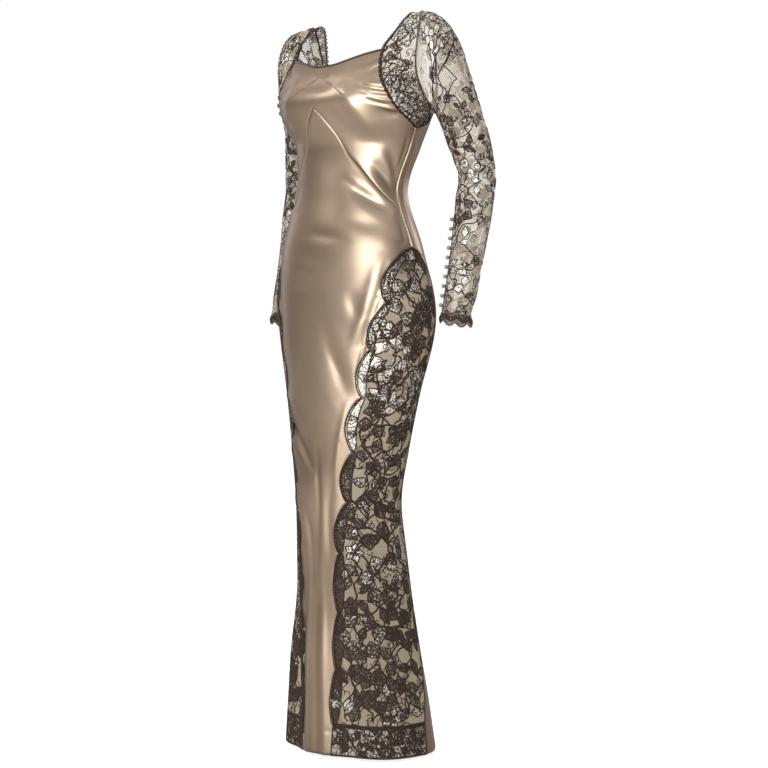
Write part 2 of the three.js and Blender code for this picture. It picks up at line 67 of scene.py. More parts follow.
# ---- The form, as the packed model has it ----
HEM_Z = -1447
BORDER_TOP_Z = -1387
HEM_STITCH_Z = -1399
SIDE_SEAM_ANGLE = 90
LACE_TOP_Z = -461
SATIN_LIFT = 1.2  # the satin's outer face over the form
LACE_LIFT = 1.0
CORD_LIFT = 1.1
NET_WALL = 0.5
BODY_MM = 2.6  # cloth for one degree round the body, where a rough figure will do
SLEEVE_MM = 0.62  # and round a sleeve
SIDES = {"left": False, "right": True}  # the right side is the left one mirrored

SECTIONS = table(
    "z width depth centre square",
    (0, 316, 0, 0, 2.5),
    (-8, 320, 40, 0, 2.5),
    (-22, 328, 84, -2, 2.5),
    (-45, 336, 130, -6, 2.5),
    (-77, 342, 165, -12, 2.5),
    (-103, 346, 194, -18, 2.45),
    (-135, 351, 222, -24, 2.35),
    (-174, 352, 240, -28, 2.2),
    (-215, 326, 222, -26, 2.1),
    (-262, 286, 194, -23.5, 2),
    (-351, 255, 176, -43, 2),
    (-461, 328, 216, -40.5, 2),
    (-600, 365, 240, -28, 2),
    (-760, 291, 218, -39, 2),
    (-859, 248, 208, -45, 2),
    (-959, 216, 198, -49, 2),
    (-1058, 229, 202, -40.5, 2),
    (-1158, 243, 212, -32, 2),
    (-1258, 275, 224, -26.5, 2),
    (-1357, 302, 238, -18, 2),
    (HEM_Z, 327, 250, -13, 2),
)

# Soft ridges (+) and troughs (-) of the cloth. `bow` bends one sideways at its middle. With `open`
# it is deepest at its first end, as a gather is at its seam, and otherwise it fades at both ends.
CREASES = table(
    "angle z to_angle to_z width height bow open",
    # the largest folds, shared with the solids
    (52, -292, 96, -368, 20, -3.5, 0, 0),
    (36, -345, 76, -398, 20, -3, 0, 0),
    (60, -470, 38, -650, 22, 3.5, 0, 0),
    (9, -634, 33, -740, 22, -3, 0, 0),
    (-34, -800, 7, -910, 22, -3.5, 0, 0),
    (8, -900, 1, -1110, 20, -3, 0, 0),
    (0, -1090, 0, -1600, 34, 8, 0, 0),
    (27, -1150, 27, -1600, 26, -6, 0, 0),
    (-27, -1150, -27, -1600, 26, -6, 0, 0),
    (56, -1120, 56, -1600, 40, 7, 0, 0),
    (-56, -1120, -56, -1600, 40, 7, 0, 0),
    (86, -1150, 86, -1600, 34, -5, 0, 0),
    (-86, -1150, -86, -1600, 34, -5, 0, 0),
    (150, -1100, 150, -1600, 40, 5, 0, 0),
    (210, -1100, 210, -1600, 40, 5, 0, 0),
    # gathers from the yoke seam over the bust, wearer's left
    (56, -152, 25, -136, 5, 2.6, 3, 1),
    (58.5, -160, 27, -143, 4.5, -3.6, 4, 1),
    (60.5, -167, 30, -150, 4.5, 3.4, 4, 1),
    (62.5, -174, 33, -157, 4.5, -3.8, 4, 1),
    (64.5, -181, 35, -165, 4.5, 3.6, 4, 1),
    (66.5, -188, 38, -173, 5, -4, 4, 1),
    (68.5, -195, 41, -183, 5, 3, 3, 1),
    (72, -203, 46, -196, 7, -3.6, 4, 1),
    (45, -88, 29, -108, 7, -2.0, 3, 1),
    (45, -100, 26, -122, 6, 2.2, 3, 1),
    (46, -112, 30, -130, 6, -2.0, 3, 1),
    # and the wearer's right
    (-53, -148, -22, -132, 6, 2.2, -3, 1),
    (-57, -158, -24, -141, 6, -2.4, -3, 1),
    (-60, -167, -28, -152, 5, 1.9, -4, 1),
    (-63, -175, -30, -163, 5.5, -2.4, -4, 1),
    (-65, -183, -36, -172, 5, 1.7, -3, 1),
    (-68, -192, -40, -184, 6, -2.2, -3, 1),
    (-45, -92, -26, -116, 7, -2.0, -3, 1),
    # bust
    (17, -142, 54, -250, 12, 4.6, -6, 0),
    (2, -176, 46, -262, 14, -2.6, -8, 0),
    (42, -170, 72, -232, 13, -4.0, -4, 0),
    (30, -118, 48, -196, 12, -2.0, -5, 0),
    (-16, -132, -52, -236, 13, 2.6, 6, 0),
    (-28, -170, -58, -262, 11, -2.4, 6, 0),
    (-20, -140, 12, -148, 12, -3.2, 3, 0),
    (-4, -112, 6, -128, 6, -1.6, 2, 0),
    (-34, -112, 20, -124, 12, 1.8, 3, 0),
    # drag lines at the V seam, wearer's left
    (40, -256, 92, -352, 12, 2.0, 5, 0),
    (46, -290, 92, -370, 9, -3.0, 3, 0),
    (62, -262, 93, -362, 9, -3.2, 3, 0),
    (20, -300, 72, -370, 12, 2.2, -5, 0),
    (22, -322, 82, -396, 11, -3.8, -4, 0),
    (24, -356, 80, -408, 14, 1.8, -5, 0),
    (22, -398, 66, -424, 12, -1.6, -5, 0),
    # and the wearer's right
    (-40, -262, -90, -350, 8, 2.6, -5, 0),
    (-52, -290, -92, -362, 7, -3.0, -3, 0),
    (-28, -318, -74, -376, 9, 2.6, 4, 0),
    (-30, -342, -76, -388, 8, -3.4, 4, 0),
    (-24, -366, -68, -404, 10, 2.2, 4, 0),
    # side seams
    (82, -232, 84, -330, 5, -2.0, 1, 0),
    (84, -386, 80, -480, 6, -2.2, 1, 0),
    (98, -240, 100, -450, 5, 2.4, 2, 0),
    (105, -236, 118, -458, 6, -2.6, 3, 0),
    (113, -250, 124, -440, 6, 1.6, 3, 0),
    (-78, -240, -81, -450, 5, 2.2, -2, 0),
    (-97, -238, -101, -452, 5, 2.4, -2, 0),
    # hip, beside the lace
    (62, -480, 36, -664, 7, -3.4, -5, 0),
    (56, -470, 29, -676, 9, 2.2, -7, 0),
    (41, -600, 36, -722, 4, -2.6, 3, 0),
    (30, -540, 36, -604, 13, -2.6, -5, 0),
    (6, -606, 36, -760, 12, -3.4, -5, 0),
    (14, -598, 42, -736, 14, 1.6, -5, 0),
    (-4, -660, 30, -800, 13, 1.8, -5, 0),
    (-60, -470, -38, -640, 8, -3.0, 6, 0),
    (-14, -430, 34, -452, 12, -1.8, 4, 0),
    (-40, -486, 22, -520, 16, 2.0, 5, 0),
    (-46, -540, 10, -560, 14, -1.8, 5, 0),
    (-10, -660, 22, -820, 16, 1.6, -6, 0),
    # the long creases of the lower skirt
    (-74, -742, 6, -900, 9, -4.0, 10, 0),
    (-72, -786, 8, -930, 9, 2.6, 10, 0),
    (-52, -730, 10, -850, 12, 1.8, 8, 0),
    (4, -840, 7, -1030, 7, -3.0, 5, 0),
    (11, -868, 4, -1140, 8, 2.2, 6, 0),
    (-40, -880, -5, -1030, 8, -3.0, 6, 0),
    (-32, -896, 0, -1130, 9, 2.2, 6, 0),
    (-9, -960, -3, -1140, 7, -2.4, 0, 0),
    (26, -890, 19, -1090, 8, -2.6, -5, 0),
    (33, -750, 27, -950, 7, 2.2, -4, 0),
    (-8, -1050, -10, -1600, 6, 3.8, 2, 0),
    (1, -1090, 2, -1600, 8, -3.2, 0, 0),
    (9, -1060, 9, -1600, 7, 2.4, 0, 0),
    (-17, -1080, -19, -1600, 8, -3.2, 0, 0),
    # back
    (140, -318, 200, -336, 10, -3.6, 5, 0),
    (146, -342, 222, -358, 9, 2.8, 5, 0),
    (138, -364, 206, -386, 10, -3.6, 6, 0),
    (150, -400, 226, -412, 12, 2.4, 5, 0),
    (128, -470, 164, -590, 12, 2.6, 8, 0),
    (232, -466, 196, -604, 11, -2.7, -8, 0),
    (150, -700, 186, -850, 12, -3.4, 8, 0),
    (208, -690, 182, -866, 12, 2.8, -8, 0),
    (165, -850, 158, -1600, 12, 4.4, 5, 0),
    (176, -960, 178, -1600, 11, -4.4, 4, 0),
    (195, -860, 203, -1600, 13, 4.6, -5, 0),
    (134, -1000, 128, -1600, 11, -3.4, 4, 0),
    (226, -980, 232, -1600, 11, -3.2, -4, 0),
    (150, -250, 176, -300, 9, -2.2, 4, 0),
    (212, -246, 190, -306, 9, 2.0, -4, 0),
)

FRONT_NECKLINE = [(0, -103), (6, -101), (13, -95), (20, -89), (27, -84), (34.5, -80), (42, -77)]
BACK_NECKLINE = [(131, -140), (143, -170), (155, -190), (168, -201), (180, -205)]
V_SEAM = [(0, -186), (12, -228), (25, -274), (40, -305), (57, -336), (74, -364), (90, -385)]

# Each row is one line across the yoke, from the armhole to its outer edge.
YOKE_FRONT = table(
    "arm_angle arm_z outer_angle outer_z",
    (75, 0, 52, 0),
    (76.5, -16, 50, -14),
    (77, -37, 48.5, -38),
    (79, -66, 44.5, -58),
    (81, -99, 42, -77),
    (85, -133, 46.5, -113),
    (91.5, -162, 54, -151),
    (101, -183, 69, -196),
    (109, -197, 90, -226),
)
YOKE_BACK = table(
    "arm_angle arm_z outer_angle outer_z",
    (105, 0, 128, 0),
    (109, -19, 121.5, -26),
    (112.5, -41, 120.5, -64),
    (116, -69, 123.5, -100),
    (118, -103, 131, -140),
    (119, -136, 126, -172),
    (118.5, -165, 117, -200),
    (115, -188, 104, -220),
    (109, -197, 90, -226),
)
NECKLINE_ROW = 4

# The side lace's scalloped front edge: the notch above each lobe, how far its tip reaches, and how
# much silver thread its border holds.
LACE_LOBES = table(
    "z notch tip silver",
    (-468, 82, 56, 0.65),
    (-569, 57, 43, 0.7),
    (-659, 46, 37.5, 0.95),
    (-751, 45, 33.5, 1.0),
    (-858, 44, 33, 0.5),
    (-955, 42, 26.5, 0.35),
    (-1053, 29, 21.5, 0.25),
    (-1169, 25, 18.5, 0.25),
    (-1280, 20, 14.5, 0.25),
    (BORDER_TOP_Z, 15.5, 0, 0),
)
LOBES = len(LACE_LOBES["z"]) - 1
LOBE_STEPS = 24
LOBE_ROUNDNESS = 0.7
LACE_REAR = table(
    "z angle", (-468, 98), (-530, 120), (-620, 122), (-1000, 122), (-1240, 121), (BORDER_TOP_Z, 102)
)
HEM_FRONT_ANGLE = 13.5
HEM_REAR_ANGLE = 99

SLEEVE_RINGS = table(
    "x y z long deep tilt pitch yaw",
    (188, 3.5, -104, 94, 45, 6, 0, 8.5),
    (201, 7.5, -119, 85, 49, 15, 0, 8.5),
    (210, 17.5, -146, 66, 47, 27, -3, 7),
    (216.5, 27.5, -178, 49.5, 44, 46.5, -5, 6.5),
    (219.5, 41, -209.5, 42, 42, 66.5, -8, 4),
    (230, 49, -251, 39.5, 40, 78, -8, 0),
    (241, 57, -300, 35.5, 36, 84, -5, 0),
    (245, 58, -332, 34.5, 35, 88, 0, 0),
    (244, 52, -366, 35, 35.5, 90, 8, 0),
    (244.5, 46, -400, 34, 34.5, 90, 11, 0),
    (243.5, 36.5, -450, 31.5, 32, 90, 12, 0),
    (243, 24, -505, 29.5, 30, 90, 12, 0),
    (242.5, 12, -555, 28.5, 29, 90, 12, 0),
    (241, 4, -583, 26, 26.5, 90, 12, 0),
    (240, 2, -602, 31, 31, 90, 12, 0),
)
SLEEVE_CREASES = table(
    "angle z to_angle to_z width height bow open",
    (120, 205, 235, 214, 7, -2.2, 4, 0),
    (130, 222, 250, 236, 7, 1.8, 4, 0),
    (118, 244, 225, 250, 7, -2.0, 4, 0),
    (140, 266, 240, 262, 7, 1.5, -3, 0),
    (20, 190, 60, 260, 9, 1.4, 4, 0),
    (100, 60, 190, 96, 8, -2.0, 5, 0),
    (170, 50, 260, 100, 8, -1.6, 5, 0),
    (60, 470, 130, 492, 7, -1.2, 3, 0),
    (200, 440, 280, 470, 8, -1.3, 3, 0),
)
CUFF_SCALLOPS = 8
CUFF_SCALLOP_DEPTH = 7
BUTTONS_PER_SLEEVE = 10
BUTTON_FIRST_Z = -407
BUTTON_LAST_Z = -574
BUTTON_FACE = 135
PLACKET_TOP_Z = -400
PLACKET_BOTTOM_Z = -583


# ---- Curves, forms and grids ----
def smooth(knots, values, x):
    """A smooth curve through values at knots, read at x.

    Between two knots it is the cubic whose slope at each is that of the line through the knots on
    either side. A value may be a number or a point, or an array that has x's own shape.
    """
    knots, values, x = np.asarray(knots, float), np.asarray(values, float), np.asarray(x, float)
    last = len(knots) - 1
    before = np.maximum(np.arange(last + 1) - 1, 0)
    after = np.minimum(np.arange(last + 1) + 1, last)
    run = (knots[after] - knots[before]).reshape(-1, *[1] * (values.ndim - 1))
    slopes = (values[after] - values[before]) / run
    i = np.clip(np.searchsorted(knots, x) - 1, 0, last - 1)
    step = knots[i + 1] - knots[i]
    t = np.clip((x - knots[i]) / step, 0, 1)
    if values.ndim > 1 + x.ndim and x.ndim and values.shape[1 : 1 + x.ndim] == x.shape:
        places = np.indices(x.shape)
        pick = lambda rows, k: rows[(k, *places)]
    else:
        pick = lambda rows, k: rows[k]
    more = pick(values, i).ndim - t.ndim
    t, step = (v.reshape(v.shape + (1,) * more) for v in (t, step))
    keep = t * t * (3 - 2 * t)
    start = t * (1 - t) ** 2 * step * pick(slopes, i)
    end = t * t * (t - 1) * step * pick(slopes, i + 1)
    return pick(values, i) * (1 - keep) + pick(values, i + 1) * keep + start + end


def unit(v):
    """Vectors made one long."""
    return v / np.maximum(np.linalg.norm(v, axis=-1, keepdims=True), 1e-12)


def body_form(angle, z):
    """The plain form: a superellipse whose width, depth, centre and squareness change with z."""
    root = np.sqrt(np.maximum(-z, 0))
    knots = np.sqrt(-SECTIONS["z"])
    width, depth, centre, square = (
        smooth(knots, SECTIONS[k], root) for k in ("width", "depth", "centre", "square")
    )
    a = np.radians(angle)
    x, y = (np.sign(v) * np.abs(v) ** (2 / square) for v in (np.sin(a), np.cos(a)))
    return np.stack([width / 2 * x, centre - depth / 2 * y, -root * root], -1)


def body_normal(angle, z):
    """The outward normal: the slope downwards crossed with the slope round."""
    root = np.sqrt(np.maximum(-z, 0))
    below, above = -((root + 0.1) ** 2), -(np.maximum(root - 0.1, 0) ** 2)
    down = body_form(angle, below) - body_form(angle, above)
    return unit(np.cross(down, body_form(angle + 1, z) - body_form(angle - 1, z)))


def crease_lift(rows, angle, z, mm_per_degree):
    """The sum of the creases at a place.

    Each is its height times a bell curve of the distance off its line over its width, times how far
    it has faded in along that line.
    """
    total = np.zeros(np.shape(angle))
    for a, b, to_a, to_b, width, height, bow, opened in zip(*rows.values()):
        run = np.stack([(to_a - a) * mm_per_degree, (to_b - b) * np.ones_like(mm_per_degree)], -1)
        off = np.stack([(angle - a) * mm_per_degree, z - b], -1)
        size = np.maximum((run * run).sum(-1), 1e-9)
        t = np.clip((off * run).sum(-1) / size, 0, 1)
        sideways = np.stack([-run[..., 1], run[..., 0]], -1) / np.sqrt(size)[..., None]
        middle = run * t[..., None] + sideways * (bow * np.sin(np.pi * t))[..., None]
        away = np.linalg.norm(off - middle, axis=-1) / width
        fade = np.cos(np.pi / 2 * t) if opened else np.sin(np.pi * t)
        total += height * np.exp(-away * away) * fade
    return total


def on_body(places, lift=0.0):
    """Points and normals of the gown's body at places (angle, z), lifted off its inner face."""
    angle, z = places[..., 0], places[..., 1]
    root = np.sqrt(np.maximum(-z, 0))
    knots = np.sqrt(-SECTIONS["z"])
    reach = (smooth(knots, SECTIONS["width"], root) + smooth(knots, SECTIONS["depth"], root)) / 4
    around = (angle + 90) % 360 - 90  # creases at the back are counted from -90 to 270
    normal = body_normal(angle, z)
    bump = crease_lift(CREASES, around, z, np.radians(1) * reach)
    return body_form(angle, z) + normal * (bump + lift)[..., None], normal


def ring_points(turn):
    """The sleeve's rings at the given turns: ellipses leaned by their tilt, pitch and yaw."""
    r = {k: v.reshape(-1, *[1] * np.ndim(turn)) for k, v in SLEEVE_RINGS.items()}
    tilt, pitch, yaw, turn = (np.radians(v) for v in (r["tilt"], r["pitch"], r["yaw"], turn))
    back = np.cos(tilt) * np.sin(pitch) - np.sin(yaw)
    away = unit(np.stack([np.sin(tilt), back, np.cos(tilt) * np.cos(pitch)], -1))
    front = np.stack([0 * pitch, -np.cos(pitch), np.sin(pitch)], -1)
    centre = np.stack([r["x"], r["y"], r["z"]], -1)
    long, deep = r["long"] * np.cos(turn), r["deep"] * np.sin(turn)
    return centre + away * long[..., None] + front * deep[..., None]


def armhole_places():
    """The armhole's places in order round it, from the shoulder down the front and up the back."""
    front = np.stack([YOKE_FRONT["arm_angle"], YOKE_FRONT["arm_z"]], -1)
    back = np.stack([YOKE_BACK["arm_angle"], YOKE_BACK["arm_z"]], -1)
    return np.concatenate([front, back[-2:0:-1]])


ARMHOLE = on_body(armhole_places(), SATIN_LIFT)[0]


def armhole_points(turn):
    """A smooth closed curve through the armhole's points."""
    count = len(ARMHOLE)
    ring = ARMHOLE[np.arange(-2, count + 3) % count]
    return smooth(np.arange(-2, count + 3), ring, (np.asarray(turn) % 360) * count / 360)


def ring_spacing():
    """How far down the sleeve each ring lies, by the straight lines between their centres."""
    rings = np.stack([SLEEVE_RINGS[k] for k in "xyz"], -1)
    centres = np.concatenate([[ARMHOLE.mean(0)], rings])
    return np.concatenate([[0], np.cumsum(np.linalg.norm(np.diff(centres, axis=0), axis=1))])


RING_ALONG = ring_spacing()


def sleeve_form(turn, along):
    """The plain sleeve: a smooth curve down it through the armhole and the rings."""
    rows = np.concatenate([armhole_points(turn)[None], ring_points(turn)])
    point = smooth(RING_ALONG, rows, along)
    past = np.maximum(along - RING_ALONG[-1], 0)
    return point - np.stack([0 * past, 0 * past, past], -1)


def sleeve_normal(turn, along):
    """The outward normal: the slope round the sleeve crossed with the slope down it."""
    high = np.minimum(along + 2, RING_ALONG[-1])
    low = np.maximum(high - 4, 0)
    down = sleeve_form(turn, high) - sleeve_form(turn, low)
    return unit(np.cross(sleeve_form(turn + 2, along) - sleeve_form(turn - 2, along), down))


def on_sleeve(places, lift=0.0):
    """Points and normals of the wearer's left sleeve at places (turn, along)."""
    turn, along = places[..., 0], places[..., 1]
    normal = sleeve_normal(turn, along)
    bump = crease_lift(SLEEVE_CREASES, turn % 360, along, np.full(np.shape(turn), SLEEVE_MM))
    return sleeve_form(turn, along) + normal * (bump + lift)[..., None], normal


def along_at_height(z):
    """How far down the sleeve its button line is at a height."""
    along = np.linspace(RING_ALONG[5], RING_ALONG[-1], 200)
    heights = sleeve_form(np.full(200, float(BUTTON_FACE)), along)[:, 2]
    return np.interp(-np.asarray(z, float), -heights, along)


def line_through(rows, count, start=0.0):
    """Evenly counted places on a smooth line through the rows of a short table."""
    rows = np.asarray(rows, float)
    return smooth(np.arange(len(rows)), rows, np.linspace(start, len(rows) - 1, count))


def straight(a, b, count):
    """Evenly spaced places from a to b."""
    return np.asarray(a, float) + np.linspace(0, 1, count)[:, None] * np.subtract(b, a)


def chain(*lines):
    """Lines joined end to end, each shared end kept once."""
    return np.concatenate([lines[0], *[line[1:] for line in lines[1:]]])


def mirrored(places):
    """The same places on the other side of the body."""
    return places * (-1, 1)


def across(half):
    """A line from the centre front to one side, run from the mirrored side across the centre."""
    return np.concatenate([mirrored(half)[:0:-1], half])


def round_the_back(places):
    """The same places mirrored across the centre back."""
    return np.stack([360 - places[..., 0], places[..., 1]], -1)


def across_the_back(half):
    """A line from one side to the centre back, run on to the other side."""
    return np.concatenate([half, round_the_back(half)[-2::-1]])


def ruled(a, b, count):
    """A grid of straight rows from each place of line a to the same place of line b."""
    u = np.linspace(0, 1, count)[None, :, None]
    return a[:, None] * (1 - u) + b[:, None] * u


def patch(top, bottom, left, right):
    """A grid that fits four lines: straight mixes across and down, less the mix of the corners."""
    u = np.linspace(0, 1, len(top))[None, :, None]
    v = np.linspace(0, 1, len(left))[:, None, None]
    ends = (top[0] * (1 - u) + top[-1] * u) * (1 - v) + (bottom[0] * (1 - u) + bottom[-1] * u) * v
    return top * (1 - v) + bottom * v + left[:, None] * (1 - u) + right[:, None] * u - ends


def yoke_line(yoke, edge, count, start=0.0):
    """Places along the yoke's "arm" or "outer" edge, from one of its rows to the last."""
    rows = np.stack([yoke[edge + "_angle"], yoke[edge + "_z"]], -1)
    return line_through(rows, count, start)


def scalloped_edge():
    """The side lace's front edge: from notch to notch, less a rounded lobe."""
    lobe, t = np.divmod(np.arange(LOBES * LOBE_STEPS + 1) / LOBE_STEPS, 1)
    lobe = lobe.astype(int)
    after = np.minimum(lobe + 1, LOBES)
    notches, heights = LACE_LOBES["notch"], LACE_LOBES["z"]
    notch = notches[lobe] * (1 - t) + notches[after] * t
    z = heights[lobe] * (1 - t) + heights[after] * t
    reach = (notches[lobe] + notches[after]) / 2 - LACE_LOBES["tip"][lobe]
    return np.stack([notch - reach * np.sin(np.pi * t) ** LOBE_ROUNDNESS, z], -1)


def lace_rear(z):
    """The side lace's plain rear edge at the heights given."""
    return np.stack([smooth(-LACE_REAR["z"], LACE_REAR["angle"], -z), z], -1)


LACE_FRONT = scalloped_edge()
LACE_BACK = lace_rear(LACE_FRONT[:, 1])
LACE_TOP = np.array([SIDE_SEAM_ANGLE, LACE_TOP_Z], float)
BORDER_FRONT = np.array([LACE_FRONT[-1], (HEM_FRONT_ANGLE, HEM_Z)])
BORDER_REAR = np.array([LACE_BACK[-1], (HEM_REAR_ANGLE, HEM_Z)])
LACE_OUTLINE = np.concatenate([[LACE_TOP], LACE_BACK, LACE_FRONT[::-1]])
BORDER_OUTLINE = np.concatenate([BORDER_FRONT, BORDER_REAR[::-1]])
SIDE_SEAM = straight((SIDE_SEAM_ANGLE, YOKE_FRONT["outer_z"][-1]), V_SEAM[-1], 33)
HIP_SEAM = straight(V_SEAM[-1], LACE_TOP, 16)


# ---- Meshes ----
def grid_faces(rows, columns, wrap=False):
    """Quads of a grid of vertices numbered row by row. With wrap its columns close into a tube."""
    r, c = np.mgrid[0 : rows - 1, 0 : columns if wrap else columns - 1]
    after = (c + 1) % columns
    quads = [r * columns + c, (r + 1) * columns + c, (r + 1) * columns + after, r * columns + after]
    return np.stack(quads, -1).reshape(-1, 4)


def make_object(name, points, faces, materials, uv=None, values=None, material_index=None):
    """A mesh in the frame, in metres, from arrays in millimetres.

    faces is a list of index arrays, values holds one number a vertex for each named attribute.
    """
    mesh = bpy.data.meshes.new(name)
    listed = [f for array in faces for f in array.tolist()]
    mesh.from_pydata((points.reshape(-1, 3) * 0.001).tolist(), [], listed)
    mesh.polygons.foreach_set("use_smooth", np.ones(len(mesh.polygons), bool))
    if material_index is not None:
        mesh.polygons.foreach_set("material_index", material_index)
    if uv is not None:
        corners = np.zeros(len(mesh.loops), np.int32)
        mesh.loops.foreach_get("vertex_index", corners)
        layer = mesh.uv_layers.new(name="cloth")
        layer.data.foreach_set("uv", (uv.reshape(-1, 2)[corners] * 0.001).astype("f4").ravel())
    for key, array in (values or {}).items():
        attribute = mesh.attributes.new(key, "FLOAT", "POINT")
        attribute.data.foreach_set("value", np.asarray(array, "f4").ravel())
    for material in materials:
        mesh.materials.append(material)
    mesh.update()
    obj = bpy.data.objects.new(name, mesh)
    bpy.context.scene.collection.objects.link(obj)
    return obj


def settle(obj, nodes=()):
    """Puts a finished piece on the frame: it rides on the body and stands for its solids."""
    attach(obj, BODY)
    if nodes:
        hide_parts(*nodes)


def give_wall(obj, thickness):
    """Gives a sheet its wall, inwards from its face."""
    wall = obj.modifiers.new("wall", "SOLIDIFY")
    wall.thickness = thickness * 0.001
    wall.offset = -1.0
    wall.use_rim = True


def flipped(points, faces, mirror):
    """Points and faces: on the wearer's right mirrored, with the faces still pointing out."""
    return (points * (-1, 1, 1), [f[:, ::-1] for f in faces]) if mirror else (points, faces)


def edge_distance(points):
    """For a grid of points, how far each lies from the nearest of the grid's four edges."""
    nearest = []
    for axis in (0, 1):
        steps = np.linalg.norm(np.diff(points, axis=axis), axis=-1)
        run = np.insert(steps.cumsum(axis), 0, 0, axis)
        nearest += [run, np.take(run, [-1], axis) - run]
    return np.minimum.reduce(nearest)


def satin_piece(name, node, places, material, thickness):
    """A satin piece: its grid of places on the form, rolled down along its seams, with its wall."""
    plain = body_form(places[..., 0], places[..., 1])
    roll = -1.3 * np.exp(-((edge_distance(plain) / 2.6) ** 2))
    stitching = -0.7 * np.exp(-(((places[..., 1] - HEM_STITCH_Z) / 2.2) ** 2))
    points, _ = on_body(places, SATIN_LIFT + roll + stitching)
    faces = [grid_faces(*places.shape[:2])]
    obj = make_object(name, points, faces, [material], places * (BODY_MM, 1))
    give_wall(obj, thickness)
    settle(obj, [node])


def sweep(centres, up, out, half_width, half_height, sides=10, closed=False):
    """A closed tube: an ellipse of `sides` points carried along the centres.

    The ellipse is half_width along `up` and half_height along `out`. Its ends are capped.
    """
    a = np.linspace(0, 2 * np.pi, sides, endpoint=False)
    ring = (
        centres[:, None]
        + up[:, None] * (half_width * np.cos(a))[None, :, None]
        + out[:, None] * (half_height * np.sin(a))[None, :, None]
    )
    count = len(centres)
    if closed:
        return ring, [grid_faces(count + 1, sides, wrap=True) % (count * sides)]
    quads = grid_faces(count, sides, wrap=True)
    caps = [np.arange(sides)[None, ::-1], (count - 1) * sides + np.arange(sides)[None]]
    return ring, [quads, *caps]


def joined(parts):
    """Several (points, faces) made one, their face numbers moved on."""
    points, faces, start = [], [], 0
    for p, fs in parts:
        p = p.reshape(-1, 3)
        points.append(p)
        faces += [f + start for f in fs]
        start += len(p)
    return np.concatenate(points), faces


# ---- Materials ----
def srgb(code):
    """The linear colour of an sRGB hex code."""
    value = np.array([int(code[i : i + 2], 16) for i in (0, 2, 4)]) / 255
    return (*np.where(value <= 0.04045, value / 12.92, ((value + 0.055) / 1.055) ** 2.4), 1.0)


def add_node(tree, kind, links=None, **settings):
    """Adds a node. Settings name properties or sockets, links name sockets and sources."""
    made = tree.nodes.new(kind)
    for key, value in settings.items():
        if hasattr(made, key):
            setattr(made, key, value)
        else:
            made.inputs[key.replace("_", " ")].default_value = value
    for key, source in (links or {}).items():
        tree.links.new(source, made.inputs[key])
    return made


def new_material(name):
    """An empty material and its tree, with an output."""
    material = bpy.data.materials.new(name)
    material.use_nodes = True
    tree = material.node_tree
    tree.nodes.clear()
    return material, tree, tree.nodes.new("ShaderNodeOutputMaterial")


def math_node(tree, operation, a, b=None):
    """A Math node; each input is a number or another node's output."""
    made = tree.nodes.new("ShaderNodeMath")
    made.operation = operation
    for socket, value in zip(made.inputs, (a, b)):
        if isinstance(value, (int, float)):
            socket.default_value = value
        elif value is not None:
            tree.links.new(value, socket)
    return made.outputs[0]


def colour_mix(tree, factor, a, b):
    """A colour mix; a and b are hex codes or outputs."""
    made = tree.nodes.new("ShaderNodeMix")
    made.data_type = "RGBA"
    tree.links.new(factor, made.inputs[0])
    for socket, value in ((made.inputs[6], a), (made.inputs[7], b)):
        if isinstance(value, str):
            socket.default_value = srgb(value)
        elif isinstance(value, tuple):
            socket.default_value = value
        else:
            tree.links.new(value, socket)
    return made.outputs[2]


def remap(tree, value, low, high, to_low, to_high):
    """A clamped straight map from one range to another."""
    made = add_node(tree, "ShaderNodeMapRange", {"Value": value})
    keys = ("From Min", "From Max", "To Min", "To Max")
    for key, number in zip(keys, (low, high, to_low, to_high)):
        made.inputs[key].default_value = number
    return made.outputs[0]


def noise_node(tree, vector, scale, detail):
    """Noise over a vector, from about 0.3 to 0.7."""
    made = add_node(tree, "ShaderNodeTexNoise", {"Vector": vector}, Scale=scale, Detail=detail)
    return made.outputs[0]


def input_node(tree, kind, output, **settings):
    """One output of a node that brings in coordinates or an attribute."""
    return add_node(tree, kind, **settings).outputs[output]


def ripple(tree, value, pitch):
    """A sine over a length in metres, one wave to each pitch in millimetres."""
    return math_node(tree, "SINE", math_node(tree, "MULTIPLY", value, 2 * math.pi * 1000 / pitch))


def shade_with(tree, output, links, **settings):
    """Ends a material in a Principled shader."""
    shader = add_node(tree, "ShaderNodeBsdfPrincipled", links, **settings)
    tree.links.new(shader.outputs[0], output.inputs[0])


